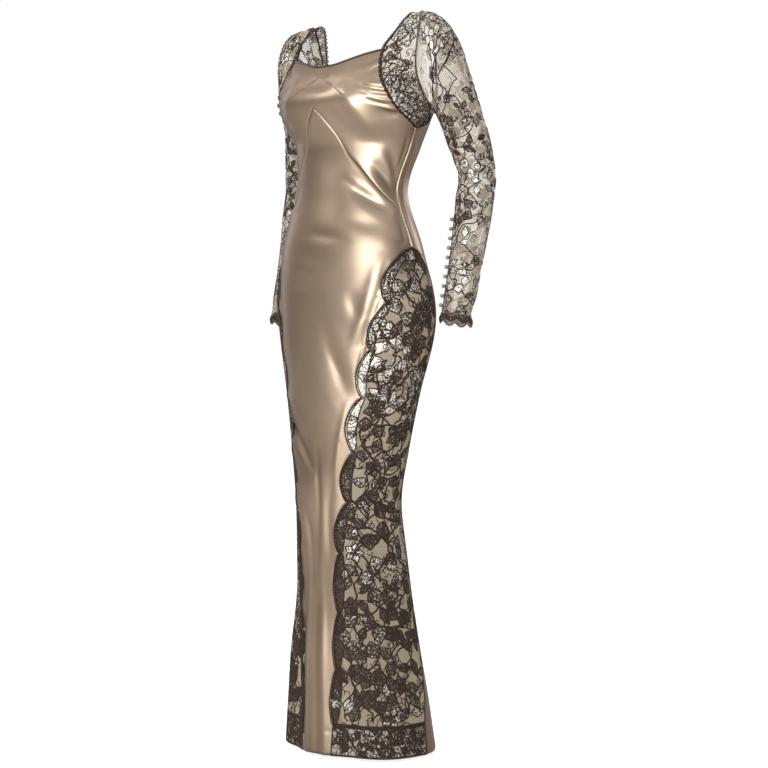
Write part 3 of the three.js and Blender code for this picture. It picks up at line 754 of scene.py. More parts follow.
def charmeuse_satin(name, base, deep, roughness):
    """Bias-cut charmeuse satin: long floats of thread give broad, bright, soft-edged highlights."""
    material, tree, output = new_material(name)
    cloth = input_node(tree, "ShaderNodeUVMap", 0, uv_map="cloth")
    # The bias grain lies at 45 degrees, and its slubs are long and thin: 1.5 by 12 mm.
    grain = add_node(tree, "ShaderNodeMapping", {"Vector": cloth})
    grain.inputs["Rotation"].default_value = (0, 0, math.radians(45))
    grain.inputs["Scale"].default_value = (80, 650, 1)
    streaks = noise_node(tree, grain.outputs[0], 1.0, 2.0)
    clouds = noise_node(tree, input_node(tree, "ShaderNodeTexCoord", "Object"), 5.0, 1.0)
    # The weave is 0.1 mm in real charmeuse; it is drawn at 0.9 mm so that it shows at all.
    weave = noise_node(tree, cloth, 1100.0, 1.0)
    # Painted shade: at a slant the colour turns to the darker, pinker deep colour. This is partly the
    # satin's real sheen and partly painted shade on its sides. The clouds add random tone.
    slant = input_node(tree, "ShaderNodeLayerWeight", "Facing", Blend=0.35)
    clouds_and_slant_shade = math_node(tree, "ADD", remap(tree, clouds, 0.35, 0.65, 0, 0.35), slant)
    colour = colour_mix(tree, clouds_and_slant_shade, base, deep)
    colour = colour_mix(tree, remap(tree, streaks, 0.45, 0.7, 0, 0.06), colour, "cbbca6")
    bump = add_node(tree, "ShaderNodeBump", {"Height": weave}, Strength=0.02, Distance=0.0004)
    tangent = add_node(tree, "ShaderNodeTangent", direction_type="UV_MAP", uv_map="cloth")
    links = {
        "Base Color": colour,
        "Roughness": remap(tree, streaks, 0.3, 0.7, roughness, roughness + 0.07),
        "Normal": bump.outputs[0],
        "Tangent": tangent.outputs[0],
    }
    gloss = dict(Metallic=0.75, Anisotropic=0.25, Specular_IOR_Level=0.6)
    shade_with(tree, output, links, Sheen_Weight=0.1, Sheen_Roughness=0.4, **gloss)
    return material


def bobbin_net(name, net, dark, cell):
    """Fine net: twisted threads in a diamond mesh, open where `dense` is below 0 and dark above."""
    material, tree, output = new_material(name)
    uv = input_node(tree, "ShaderNodeUVMap", 0, uv_map="cloth")
    parts = add_node(tree, "ShaderNodeSeparateXYZ", {"Vector": uv}).outputs
    # A real cell is 1 mm; it is drawn at `cell` so that it shows at all.
    slants = [math_node(tree, way, *parts[:2]) for way in ("ADD", "SUBTRACT")]
    waves = [math_node(tree, "ABSOLUTE", ripple(tree, slant, 2 * cell)) for slant in slants]
    dense = input_node(tree, "ShaderNodeAttribute", "Fac", attribute_name="dense")
    uneven = remap(tree, noise_node(tree, uv, 90.0, 2.0), 0.3, 0.7, -0.07, 0.07)
    thick = math_node(tree, "ADD", remap(tree, dense, -1, 1, 0.2, 0.9), uneven)
    alpha = math_node(tree, "LESS_THAN", math_node(tree, "MINIMUM", *waves), thick)
    colour = colour_mix(tree, remap(tree, dense, 0.05, 0.6, 0, 1), net, dark)
    links = {"Base Color": colour, "Alpha": alpha}
    shade_with(tree, output, links, Roughness=0.7, Specular_IOR_Level=0.2)
    return material


def lace_thread(name, dark, silver, fill=None):
    """Lace thread, dark rayon or silver metallic by the `silver` attribute.

    With fill it is the close clothwork inside petals and leaves: threads side by side, with gaps.
    """
    material, tree, output = new_material(name)
    metal = input_node(tree, "ShaderNodeAttribute", "Fac", attribute_name="silver")
    noise = noise_node(tree, input_node(tree, "ShaderNodeTexCoord", "Object"), 340.0, 2.0)
    # Silver thread shows as specks: more of them, then all, as the attribute goes from 0 to 1.
    both = math_node(tree, "ADD", math_node(tree, "MULTIPLY", metal, 0.6), noise)
    speck = remap(tree, both, 0.9, 1.0, 0, 1)
    links = {
        "Base Color": colour_mix(tree, speck, dark, silver),
        "Roughness": remap(tree, speck, 0, 1, 0.75, 0.35),
        "Metallic": remap(tree, speck, 0, 1, 0.0, 0.3),
    }
    if fill is not None:
        uv = input_node(tree, "ShaderNodeUVMap", 0, uv_map="cloth")
        parts = add_node(tree, "ShaderNodeSeparateXYZ", {"Vector": uv}).outputs
        # The clothwork's threads lie 0.5 mm apart; they are drawn 1.6 mm apart to show.
        weave = math_node(tree, "MULTIPLY", ripple(tree, parts[0], 1.6), ripple(tree, parts[1], 2.4))
        cover = math_node(tree, "ADD", weave, remap(tree, noise, 0.3, 0.7, -0.4, 0.4))
        links["Alpha"] = math_node(tree, "LESS_THAN", cover, fill)
    shade_with(tree, output, links, Specular_IOR_Level=0.3)
    return material


def ribbon_satin(name, base):
    """Narrow bias binding, pressed and stitched, a little rougher than the gown's satin."""
    material, tree, output = new_material(name)
    noise = noise_node(tree, input_node(tree, "ShaderNodeTexCoord", "Object"), 220.0, 2.0)
    colour = colour_mix(tree, remap(tree, noise, 0.4, 0.7, 0, 0.15), base, "7d6b5c")
    bump = add_node(tree, "ShaderNodeBump", {"Height": noise}, Strength=0.2, Distance=0.0005)
    links = {"Base Color": colour, "Normal": bump.outputs[0]}
    shade_with(tree, output, links, Roughness=0.42, Metallic=0.15, Sheen_Weight=0.1)
    return material


def made_once(name, maker, *values):
    """The named material, made by the maker the first time; colours get their alpha here."""
    values = [v if isinstance(v, float) else (*v, 1) for v in values]
    return bpy.data.materials.get(name) or maker(name, *values)


def satin_material(settings):
    colours = settings.colour, settings.deep
    return made_once("bias_cut_charmeuse_satin", charmeuse_satin, *colours, settings.roughness)


def net_material(settings):
    return made_once("bobbin_net", bobbin_net, settings.net, settings.thread, settings.cell)


def cord_material(settings):
    return made_once("rayon_cord", lace_thread, settings.thread, settings.silver)


def clothwork_material(settings):
    return made_once("lace_clothwork", lace_thread, settings.thread, settings.silver, 0.55)


def binding_material(settings):
    return made_once("bias_binding_satin", ribbon_satin, settings.binding)


# ---- Lace ----
STROKE = 9  # points along each drawn stroke of a motif
SIDE_FIRST_ROW_Z, SIDE_STEP = -505, 54  # the side lace's rows of motifs
FILL_ROWS = 4  # and across a petal's or a leaf's filling
FILL_LONG, FILL_WIDE = 18, 10  # the millimetres of clothwork pattern on a filling


def leaf_shape(length, width, tip=1.0, ruffle=0.0):
    """Both sides of a leaf or petal along +x, from its base to its tip, as two strokes.

    x goes evenly from 0 to the length; y is half the width times a sine, pushed towards the tip,
    with small waves on its edge.
    """
    t = np.linspace(0, 1, STROKE)
    y = width / 2 * np.sin(np.pi * t**tip) * (1 + ruffle * np.cos(5 * np.pi * t))
    x = length * (t + 0.04 * np.sin(2 * np.pi * t))
    return np.stack([np.stack([x, y], -1), np.stack([x, -y], -1)])


def turned(shape, degrees, move=(0.0, 0.0), size=1.0):
    """A shape scaled, turned and moved in its plane."""
    a = math.radians(degrees)
    turn = np.array([[math.cos(a), math.sin(a)], [-math.sin(a), math.cos(a)]])
    return shape * size @ turn + move


def arc_stroke(radius, start, end, squeeze=1.0, end_radius=None):
    """A stroke on a circle or a spiral between two angles in degrees."""
    a = np.radians(np.linspace(start, end, STROKE))
    r = np.linspace(radius, radius if end_radius is None else end_radius, STROKE)
    return np.stack([r * np.cos(a), squeeze * r * np.sin(a)], -1)


def whorl(shape, count, radius, start=0):
    """A shape repeated round a centre, each moved out by the radius the way it points."""
    turns = [360 // count * k + start for k in range(count)]
    ways = [np.array([math.cos(math.radians(a)), math.sin(math.radians(a))]) for a in turns]
    return [turned(shape, a, radius * way) for a, way in zip(turns, ways)]


def rose_motif():
    """A full rose: six ruffled outer petals, five inner ones and a spiral heart, 60 mm across."""
    outer = whorl(leaf_shape(17, 19, 0.75, 0.1), 6, 12.5, 8)
    inner = whorl(arc_stroke(6.5, -80, 80), 5, 8.5)
    heart = [arc_stroke(1.5, 0, 230, 0.9, 4.5), arc_stroke(4.5, 230, 470, 0.9, 7.5)]
    veins = whorl(straight((15, 0), (25, 0), STROKE), 6, 0, 8)
    return np.array(outer), np.array([*inner, *heart, *veins])


def leaf_strokes(length, width):
    """A leaf with its midrib and three pairs of veins."""
    side = leaf_shape(length, width, 0.85, 0.07)
    rib = straight((0, 0), (length, 0), STROKE)
    t = np.linspace(-1, 1, STROKE)
    veins = []
    for k in (0.2, 0.42, 0.64):
        reach = width * 0.36 * math.sin(math.pi * (k + 0.15))
        veins.append(np.stack([length * k + np.abs(t) * length * 0.16, t * reach], -1))
    return side, np.array([rib, *veins])


def add_leaf(pairs, lines, leaf, picked, way, move, size=1.0):
    """Puts one leaf, and those of its strokes that are picked, into a motif."""
    side, strokes = leaf
    pairs.append(turned(side, way, move, size))
    lines += [turned(strokes[k], way, move, size) for k in picked]


def spray_motif():
    """A curved stem with five leaves and a bud, 70 mm long."""
    leaf = leaf_strokes(21, 11)
    pairs, lines = [], []
    for a, b, bend_a, bend_b in ((-34, 0, -2.6, 0), (0, 32, 0, 2.4)):
        bend = 7 * np.sin(np.linspace(bend_a, bend_b, STROKE))
        lines.append(np.stack([np.linspace(a, b, STROKE), bend], -1))
    lines.append(turned(arc_stroke(5, 180, -60, 1, 2.5), 0, (-36, -7)))
    for x, y, way, size in (
        (-24, -6, 55, 0.9),
        (-14, -5, -60, 1.05),
        (2, 1, 58, 1.15),
        (12, 5, -52, 1.0),
        (31, 5, 6, 0.95),
    ):
        add_leaf(pairs, lines, leaf, (0, 1, 3), way, (x, y), size)
    return np.array(pairs), np.array(lines)


def blossom_motif():
    """A small five-petalled flower on a curled tendril with two leaves."""
    pairs = whorl(leaf_shape(10.5, 9.5, 0.7), 5, 2.5)
    lines = [
        arc_stroke(2.4, 0, 360),
        turned(arc_stroke(14, 200, 20, 0.7, 5), 0, (-22, -6)),
        turned(arc_stroke(5, 20, -200, 0.9, 2), 0, (-22, -6)),
        turned(arc_stroke(16, 10, 120, 0.8), 0, (4, -20)),
    ]
    for x, y, way in ((-18, 6, 140), (16, -16, -40)):
        add_leaf(pairs, lines, leaf_strokes(17, 9), (0,), way, (x, y))
    return np.array(pairs), np.array(lines)


MOTIFS = [rose_motif(), spray_motif(), blossom_motif()]


def local_scale(place, sites):
    """Millimetres of cloth for one unit of each coordinate at the sites."""
    da, db = np.array([1.0, 0.0]), np.array([0.0, 1.0])
    a = np.linalg.norm(place(sites + da)[0] - place(sites - da)[0], axis=-1) / 2
    b = np.linalg.norm(place(sites + db)[0] - place(sites - db)[0], axis=-1) / 2
    return np.maximum(np.stack([a, b], -1), 0.2)


def put_motifs(place, sites, kinds, sizes, turns, flips):
    """Every motif's strokes as places on the cloth: (filled pairs, plain lines, their sites).

    A motif is scaled, flipped and turned in millimetres, then moved to its site and divided by the
    cloth's own millimetres for each unit there.
    """
    pairs, lines, pair_site, line_site = [], [], [], []
    scale = local_scale(place, sites)
    for kind, (pair, line) in enumerate(MOTIFS):
        chosen = np.flatnonzero(kinds == kind)
        a = np.radians(turns[chosen])
        cos, sin = np.cos(a), np.sin(a)
        turn = np.stack([np.stack([cos, sin], -1), np.stack([-sin, cos], -1)], -2)
        flip = np.stack([np.ones(len(chosen)), flips[chosen]], -1)
        for shape, found, owner in ((pair, pairs, pair_site), (line, lines, line_site)):
            shape = shape.reshape(-1, STROKE, 2)
            placed = shape[None] * (flip * sizes[chosen, None])[:, None, None]
            placed = np.einsum("ikpc,icd->ikpd", placed, turn) / scale[chosen][:, None, None]
            placed = placed + sites[chosen][:, None, None]
            found.append(placed.reshape(-1, STROKE, 2))
            owner.append(np.repeat(chosen, len(shape)))
    pairs = np.concatenate(pairs).reshape(-1, 2, STROKE, 2)
    pair_site, line_site = np.concatenate(pair_site)[::2], np.concatenate(line_site)
    return pairs, np.concatenate(lines), pair_site, line_site


def in_outline(places, outline):
    """True for places inside a closed outline, by how often a line from each crosses it."""
    x, y = places[..., 0], places[..., 1]
    inside = np.zeros(x.shape, bool)
    for (ax, ay), (bx, by) in zip(outline, np.roll(outline, -1, 0)):
        if ay != by:
            inside ^= ((ay > y) != (by > y)) & (x < (bx - ax) * (y - ay) / (by - ay) + ax)
    return inside


def cord_mesh(points, normals, keep, width, height):
    """Cords of a three-sided section laid along strokes, left out where `keep` is false.

    points and normals are (strokes, stations, 3). Each cord's section is its width across the
    stroke and its height off the cloth. Cut ends are capped.
    """
    tangent = unit(np.gradient(points, axis=1))
    side = unit(np.cross(tangent, normals))
    half = side * width / 2
    ring = np.stack([points - half, points + normals * height, points + half], 2)
    number = np.arange(ring.size // 3).reshape(ring.shape[:3])
    before, after = number[:, :-1], number[:, 1:]
    kept = keep[:, 1:] & keep[:, :-1]
    quads = [
        np.stack([before[..., j], after[..., j], after[..., k], before[..., k]], -1)[kept]
        for j, k in ((0, 1), (1, 2), (2, 0))
    ]
    begins = kept & ~np.pad(kept, ((0, 0), (1, 0)))[:, :-1]
    ends = kept & ~np.pad(kept, ((0, 0), (0, 1)))[:, 1:]
    caps = [before[begins], after[ends][:, ::-1]]
    return ring.reshape(-1, 3), [np.roll(np.concatenate(quads), -1, 1), *caps]


class LaceWork:
    """Gathers the cords and clothwork of one lace piece, and makes them one mesh."""

    def __init__(self, place, inside, mirror):
        self.place, self.inside, self.mirror = place, inside, mirror
        self.points, self.faces, self.index, self.silver, self.uv = [], [], [], [], []
        self.start = 0

    def add(self, points, faces, material, silver, uv):
        """Adds arrays of points and faces, dropping points that no face uses."""
        faces = [f for f in faces if len(f)]
        if not faces:
            return
        used = np.unique(np.concatenate([f.ravel() for f in faces]))
        renumber = np.zeros(len(points), int)
        renumber[used] = np.arange(len(used))
        self.points.append(points[used])
        self.silver.append(silver.ravel()[used])
        self.uv.append(uv.reshape(-1, 2)[used])
        for f in faces:
            self.faces.append(renumber[f] + self.start)
            self.index.append(np.full(len(f), material))
        self.start += len(used)

    def cords(self, strokes, width, height=0.9, silver=0.0, lift=CORD_LIFT, clip=True):
        """Lays cords along strokes of places."""
        if not len(strokes):
            return
        points, normals = self.place(strokes, lift)
        keep = self.inside(strokes) if clip else np.ones(strokes.shape[:2], bool)
        mesh, faces = cord_mesh(points, normals, keep, width, height)
        shade = np.broadcast_to(np.reshape(silver, (-1, 1, 1)), (*strokes.shape[:2], 3))
        self.add(mesh, faces, 0, shade, np.repeat(strokes[:, :, None], 3, 2))

    def fill(self, pairs, silver):
        """Fills each pair of strokes: straight mixes from one to the other, a little domed."""
        if not len(pairs):
            return
        u = np.linspace(0, 1, FILL_ROWS)[None, :, None, None]
        places = pairs[:, :1] * (1 - u) + pairs[:, 1:] * u
        dome = 0.5 * np.sin(np.pi * u[..., 0]) * np.sin(np.pi * np.linspace(0, 1, STROKE))
        points, _ = self.place(places, CORD_LIFT + dome)
        number = np.arange(len(pairs) * FILL_ROWS * STROKE).reshape(len(pairs), FILL_ROWS, STROKE)
        low, high = slice(None, -1), slice(1, None)
        corners = [(slice(None), *c) for c in ((low, low), (high, low), (high, high), (low, high))]
        keep = self.inside(places)
        kept = np.logical_and.reduce([keep[corner] for corner in corners])
        quads = np.stack([number[corner] for corner in corners], -1)
        shade = np.broadcast_to(np.reshape(silver, (-1, 1, 1)), number.shape)
        along, over = np.linspace(0, FILL_LONG, STROKE), u[..., 0] * FILL_WIDE
        uv = np.stack([np.broadcast_to(way, number.shape) for way in (along, over)], -1)
        self.add(points.reshape(-1, 3), [quads[kept]], 1, shade, uv)

    def finish(self, name, settings):
        """Makes the mesh, and mirrors it for the wearer's right."""
        points, uv, silver, index = (
            np.concatenate(parts) for parts in (self.points, self.uv, self.silver, self.index)
        )
        points, faces = flipped(points, self.faces, self.mirror)
        materials = [cord_material(settings), clothwork_material(settings)]
        obj = make_object(name, points, faces, materials, uv, {"silver": silver}, index)
        settle(obj)


def scattered_sites(rng, rows, jitter):
    """Sites, and the number of each one's row, evenly spaced along rows and then jittered.

    A row is (first, last, level, step, scale): from first to last at the other coordinate's level,
    with the step and the jitter in millimetres and the scale in millimetres for each degree.
    """
    sites, row_of = [], []
    for number, (first, last, level, step, per_unit) in enumerate(rows):
        count = max(1, int((last - first) * per_unit / step))
        t = (np.arange(count) + (0.5 if number % 2 else 0.15)) / count
        shift = rng.uniform(-jitter, jitter, (count, 2)) / (per_unit, 1)
        sites.append(np.stack([first + (last - first) * t, np.full(count, level)], -1) + shift)
        row_of += [number] * count
    return np.concatenate(sites), np.array(row_of)


def stems_between(place, sites, row_of, rng):
    """S-shaped stems from each site to the two nearest ones in the next row."""
    scale = local_scale(place, sites)
    starts, ends, lengths = [], [], []
    for i in range(len(sites)):
        below = np.flatnonzero(row_of == row_of[i] + 1)
        if len(below):
            apart = np.linalg.norm((sites[below] - sites[i]) * scale[i], axis=-1)
            near = np.argsort(apart)[:2]
            starts += [i] * len(near)
            ends += list(below[near])
            lengths += list(apart[near])
    if not starts:
        return np.zeros((0, 2 * STROKE, 2))
    a, b = sites[starts][:, None], sites[ends][:, None]
    t = np.linspace(0, 1, 2 * STROKE)[None, :, None]
    sway = np.array(lengths)[:, None, None] * rng.uniform(0.1, 0.22, (len(starts), 1, 1))
    sway = sway * rng.choice([-1, 1], (len(starts), 1, 1))
    bend = np.concatenate([sway * np.sin(2 * np.pi * t), 0.4 * sway * np.sin(4 * np.pi * t)], -1)
    return a * (1 - t) + b * t + bend / scale[starts][:, None]


def tendrils(place, inside, rng, low, high, count):
    """Short curled sprigs scattered over the ground between the motifs."""
    sites = rng.uniform(low, high, (count * 3, 2))
    sites = sites[inside(sites)][:count]
    scale = local_scale(place, sites)
    start = rng.uniform(0, 360, len(sites))
    sweep_by = rng.uniform(150, 300, len(sites)) * rng.choice([-1, 1], len(sites))
    t = np.linspace(0, 1, STROKE)
    a = np.radians(start[:, None] + sweep_by[:, None] * t)
    r = rng.uniform(5, 10, len(sites))[:, None] * (1 - 0.6 * t)
    return sites[:, None] + np.stack([r * np.cos(a), r * np.sin(a)], -1) / scale[:, None]


def decorate(work, rng, sites, row_of, low, high, silver_at, size, wide, sprigs):
    """Motifs at the sites, stems between them and sprigs in the ground, all on one lace piece."""
    kinds = (row_of + np.arange(len(sites)) * 2) % 3
    sizes = rng.uniform(0.82, 1.12, len(sites)) * size
    turns, flips = rng.uniform(0, 360, len(sites)), rng.choice([-1.0, 1.0], len(sites))
    pairs, lines, pair_site, line_site = put_motifs(work.place, sites, kinds, sizes, turns, flips)
    silver = np.clip(silver_at(sites) + rng.uniform(-0.3, 0.3, len(sites)), 0, 1)
    work.fill(pairs, silver[pair_site])
    work.cords(pairs.reshape(-1, STROKE, 2), wide, silver=np.repeat(silver[pair_site], 2) * 0.45)
    work.cords(lines, wide * 0.7, silver=silver[line_site] * 0.8)
    work.cords(stems_between(work.place, sites, row_of, rng), wide * 1.3, silver=0.05)
    ground = tendrils(work.place, work.inside, rng, low, high, sprigs)
    work.cords(ground, wide * 0.7, silver=rng.uniform(0, 0.5, len(ground)))


def eyelashes(line, place, reach, step, sideways):
    """Short threads along an edge: from each place on it, outwards and a little on."""
    points, _ = place(line)
    along = np.concatenate([[0], np.linalg.norm(np.diff(points, axis=0), axis=1).cumsum()])
    at = np.arange(0, along[-1], step)
    base = np.stack([np.interp(at, along, line[:, k]) for k in (0, 1)], -1)
    scale = local_scale(place, base)
    tangent = unit(np.gradient(base * scale, axis=0))
    out = np.stack([tangent[:, 1], -tangent[:, 0]], -1) * sideways
    lean = tangent * np.where(np.arange(len(at)) % 2, 0.5, -0.5)[:, None]
    tip = base + (out + lean) * reach * (0.75 + 0.25 * np.sin(at / 9))[:, None] / scale
    return np.stack([base, (base + tip) / 2, tip], 1)


def net_sheet(name, places, place, material, dense, mirror, nodes, wrap=False):
    """The net ground of a lace piece: its grid on the form, with its fine wall."""
    points, _ = place(places, LACE_LIFT)
    faces = grid_faces(*places.shape[:2], wrap)
    if place is on_sleeve:  # its rows and columns run the other way round than the body's
        faces = faces[:, ::-1]
    points, faces = flipped(points, [faces], mirror)
    uv = places * (SLEEVE_MM if place is on_sleeve else BODY_MM, 1)
    obj = make_object(name, points, faces, [material], uv, {"dense": dense})
    give_wall(obj, NET_WALL)
    settle(obj, nodes)


def silver_on_side(sites):
    """How much silver a motif on the side lace holds: most beside the third to fifth lobes."""
    z = sites[..., 1]
    down = [460, 520, 640, 720, 800, 900, 1000, 1400]
    band = np.interp(-z, down, [0.65, 0.7, 0.8, 0.85, 0.75, 0.65, 0.6, 0.55])
    return band * np.interp(sites[..., 0], [30, 75, 120], [1.1, 1.0, 0.35])


def scale_at(place, a, b):
    """Millimetres of cloth for one degree at one place."""
    return float(local_scale(place, np.array([[a, b]]))[0, 0])


def front_angle(z):
    """The angle of the side lace's front edge at a height."""
    return np.interp(-z, -LACE_FRONT[:, 1], LACE_FRONT[:, 0])


def side_rows():
    """Rows of motif sites for the side lace, from just inside its scallops to its rear edge."""
    rows = []
    for z in np.arange(SIDE_FIRST_ROW_Z, BORDER_TOP_Z, -SIDE_STEP):
        front, rear = front_angle(z), float(lace_rear(np.array([z]))[0, 0])
        per = scale_at(on_body, front, z)
        rows.append((front + 24 / per, rear - 4 / per, z, SIDE_STEP, per))
    return rows


def lobe_border(work, inner, silver):
    """The scallops' border: clothwork in a crescent between the edge and an inner cord."""
    # LOBE_STEPS is three strokes' steps, so each lobe takes three fillings end to end.
    strokes = np.arange(3)[:, None] * (STROKE - 1) + np.arange(STROKE)
    for k in range(LOBES):
        part = strokes + k * LOBE_STEPS
        work.fill(np.stack([LACE_FRONT[part], inner[part]], 1), np.full(3, silver[k]))


# ---- Pieces ----
def colour_setting(name, description, code):
    """A colour property with an sRGB hex default."""
    return FloatVectorProperty(
        name=name, description=description, subtype="COLOR", size=3, default=srgb(code)[:3]
    )


class SatinSettings(bpy.types.PropertyGroup):
    """The gown's satin."""

    colour: colour_setting("Colour", "Satin seen straight on", "c2ae99")
    # The deep colour is partly the satin's real sheen and partly painted shade on the sides turned
    # away.
    deep: colour_setting("Deep colour", "Satin seen at a slant", "6f5446")
    binding: colour_setting("Binding", "Narrow bindings and placket", "352a24")
    roughness: FloatProperty(
        name="Roughness", description="Roughness of the satin", default=0.31, min=0, max=1
    )
    thickness: FloatProperty(
        name="Thickness", description="Thickness of the satin in millimetres", default=0.8
    )
    grid: FloatProperty(name="Grid", description="Width of a grid cell in millimetres", default=4.5)


class LaceSettings(bpy.types.PropertyGroup):
    """The gown's lace."""

    net: colour_setting("Net", "Colour of the fine net", "cbbda7")
    thread: colour_setting("Thread", "Colour of the dark lace thread", "3c3027")
    silver: colour_setting("Silver", "Colour of the silver thread", "f4f0e8")
    cell: FloatProperty(
        name="Net cell", description="Size of a net cell in millimetres", default=3.0, min=1
    )
    cord: FloatProperty(
        name="Cord", description="Width of the outlining cord in millimetres", default=2.5, min=0.3
    )
    motif: FloatProperty(
        name="Motif", description="Scale of the flowers and leaves", default=1.0, min=0.3
    )


class ButtonSettings(bpy.types.PropertyGroup):
    """The sleeves' covered buttons."""

    colour: colour_setting("Colour", "Satin over the buttons", "a8937f")
    # A real button is 7.5 mm across; it is drawn a little larger to show.
    diameter: FloatProperty(
        name="Diameter", description="Diameter of a button in millimetres", default=8.2
    )


class StageSettings(bpy.types.PropertyGroup):
    """Floor, lights and camera."""

    key: FloatProperty(name="Key", description="Power of the key light", default=370.0, unit="POWER")
    fill: FloatProperty(name="Fill", description="Power of the fill light", default=30.0, unit="POWER")
    rim: FloatProperty(name="Rim", description="Power of the rim light", default=30.0, unit="POWER")
    lens: FloatProperty(name="Lens", description="Focal length of the camera", default=94.1)


class GownPiece:
    """What the gown's operators share."""

    bl_options = {"REGISTER", "UNDO"}


class GOWN_OT_satin(GownPiece, bpy.types.Operator):
    """Cuts and hangs the three satin panels: front bodice, front skirt and back"""

    bl_idname = "gown.satin"
    bl_label = "Satin Panels"

    def execute(self, context):
        settings = context.scene.gown_satin
        cell = settings.grid
        half = int(260 / cell)
        v_seam = across(line_through(V_SEAM, half))
        side = chain(yoke_line(YOKE_FRONT, "outer", int(190 / cell), NECKLINE_ROW), SIDE_SEAM)
        bodice = patch(across(line_through(FRONT_NECKLINE, half)), v_seam, mirrored(side), side)

        top = np.array([LACE_TOP, LACE_FRONT[0]])
        side = chain(HIP_SEAM, top, LACE_FRONT, straight(*BORDER_FRONT, 14))
        hem = straight(side[-1] * (-1, 1), side[-1], len(v_seam))
        skirt = patch(v_seam, hem, mirrored(side), side)

        top = across_the_back(line_through(BACK_NECKLINE, int(180 / cell)))
        seam = yoke_line(YOKE_BACK, "outer", int(110 / cell), NECKLINE_ROW)
        edge = chain(np.array([LACE_TOP, LACE_BACK[0]]), LACE_BACK, straight(*BORDER_REAR, 14))
        side = chain(seam, SIDE_SEAM, HIP_SEAM, edge)
        hem = straight(side[-1], round_the_back(side[-1]), len(top))
        back = patch(top, hem, side, round_the_back(side))

        material = satin_material(settings)
        for name, node, places in (
            ("bodice_satin", "front_bodice", bodice),
            ("skirt_satin", "front_skirt", skirt),
            ("back_satin", "back_panel", back),
        ):
            satin_piece(name, node, places, material, settings.thickness)
        return {"FINISHED"}


class GOWN_OT_bindings(GownPiece, bpy.types.Operator):
    """Binds the neckline and the armholes with narrow satin"""

    bl_idname = "gown.bindings"
    bl_label = "Bindings"

    def execute(self, context):
        material = binding_material(context.scene.gown_satin)
        front = across(line_through(FRONT_NECKLINE, 60))
        back = across_the_back(line_through(BACK_NECKLINE, 50))
        for name, line in (("front", front), ("back", back)):
            centres, normal = on_body(line - (0, 1.4), 1.0)
            up = unit(np.cross(unit(np.gradient(centres, axis=0)), normal))
            tube = sweep(centres, up, normal, 2.7, 1.5)
            obj = make_object(f"neck_edge_{name}", *tube, [material])
            settle(obj, [f"neck_binding_{name}"])
        centres = armhole_points(np.linspace(0, 360, 120, endpoint=False))
        tangent = unit(np.roll(centres, -1, 0) - np.roll(centres, 1, 0))
        out = unit(centres - centres.mean(0))
        tube = sweep(centres, unit(np.cross(tangent, out)), out, 2.6, 1.9, 8, closed=True)
        for side, mirror in SIDES.items():
            obj = make_object(f"armhole_binding_{side}", *flipped(*tube, mirror), [material])
            settle(obj)
        return {"FINISHED"}


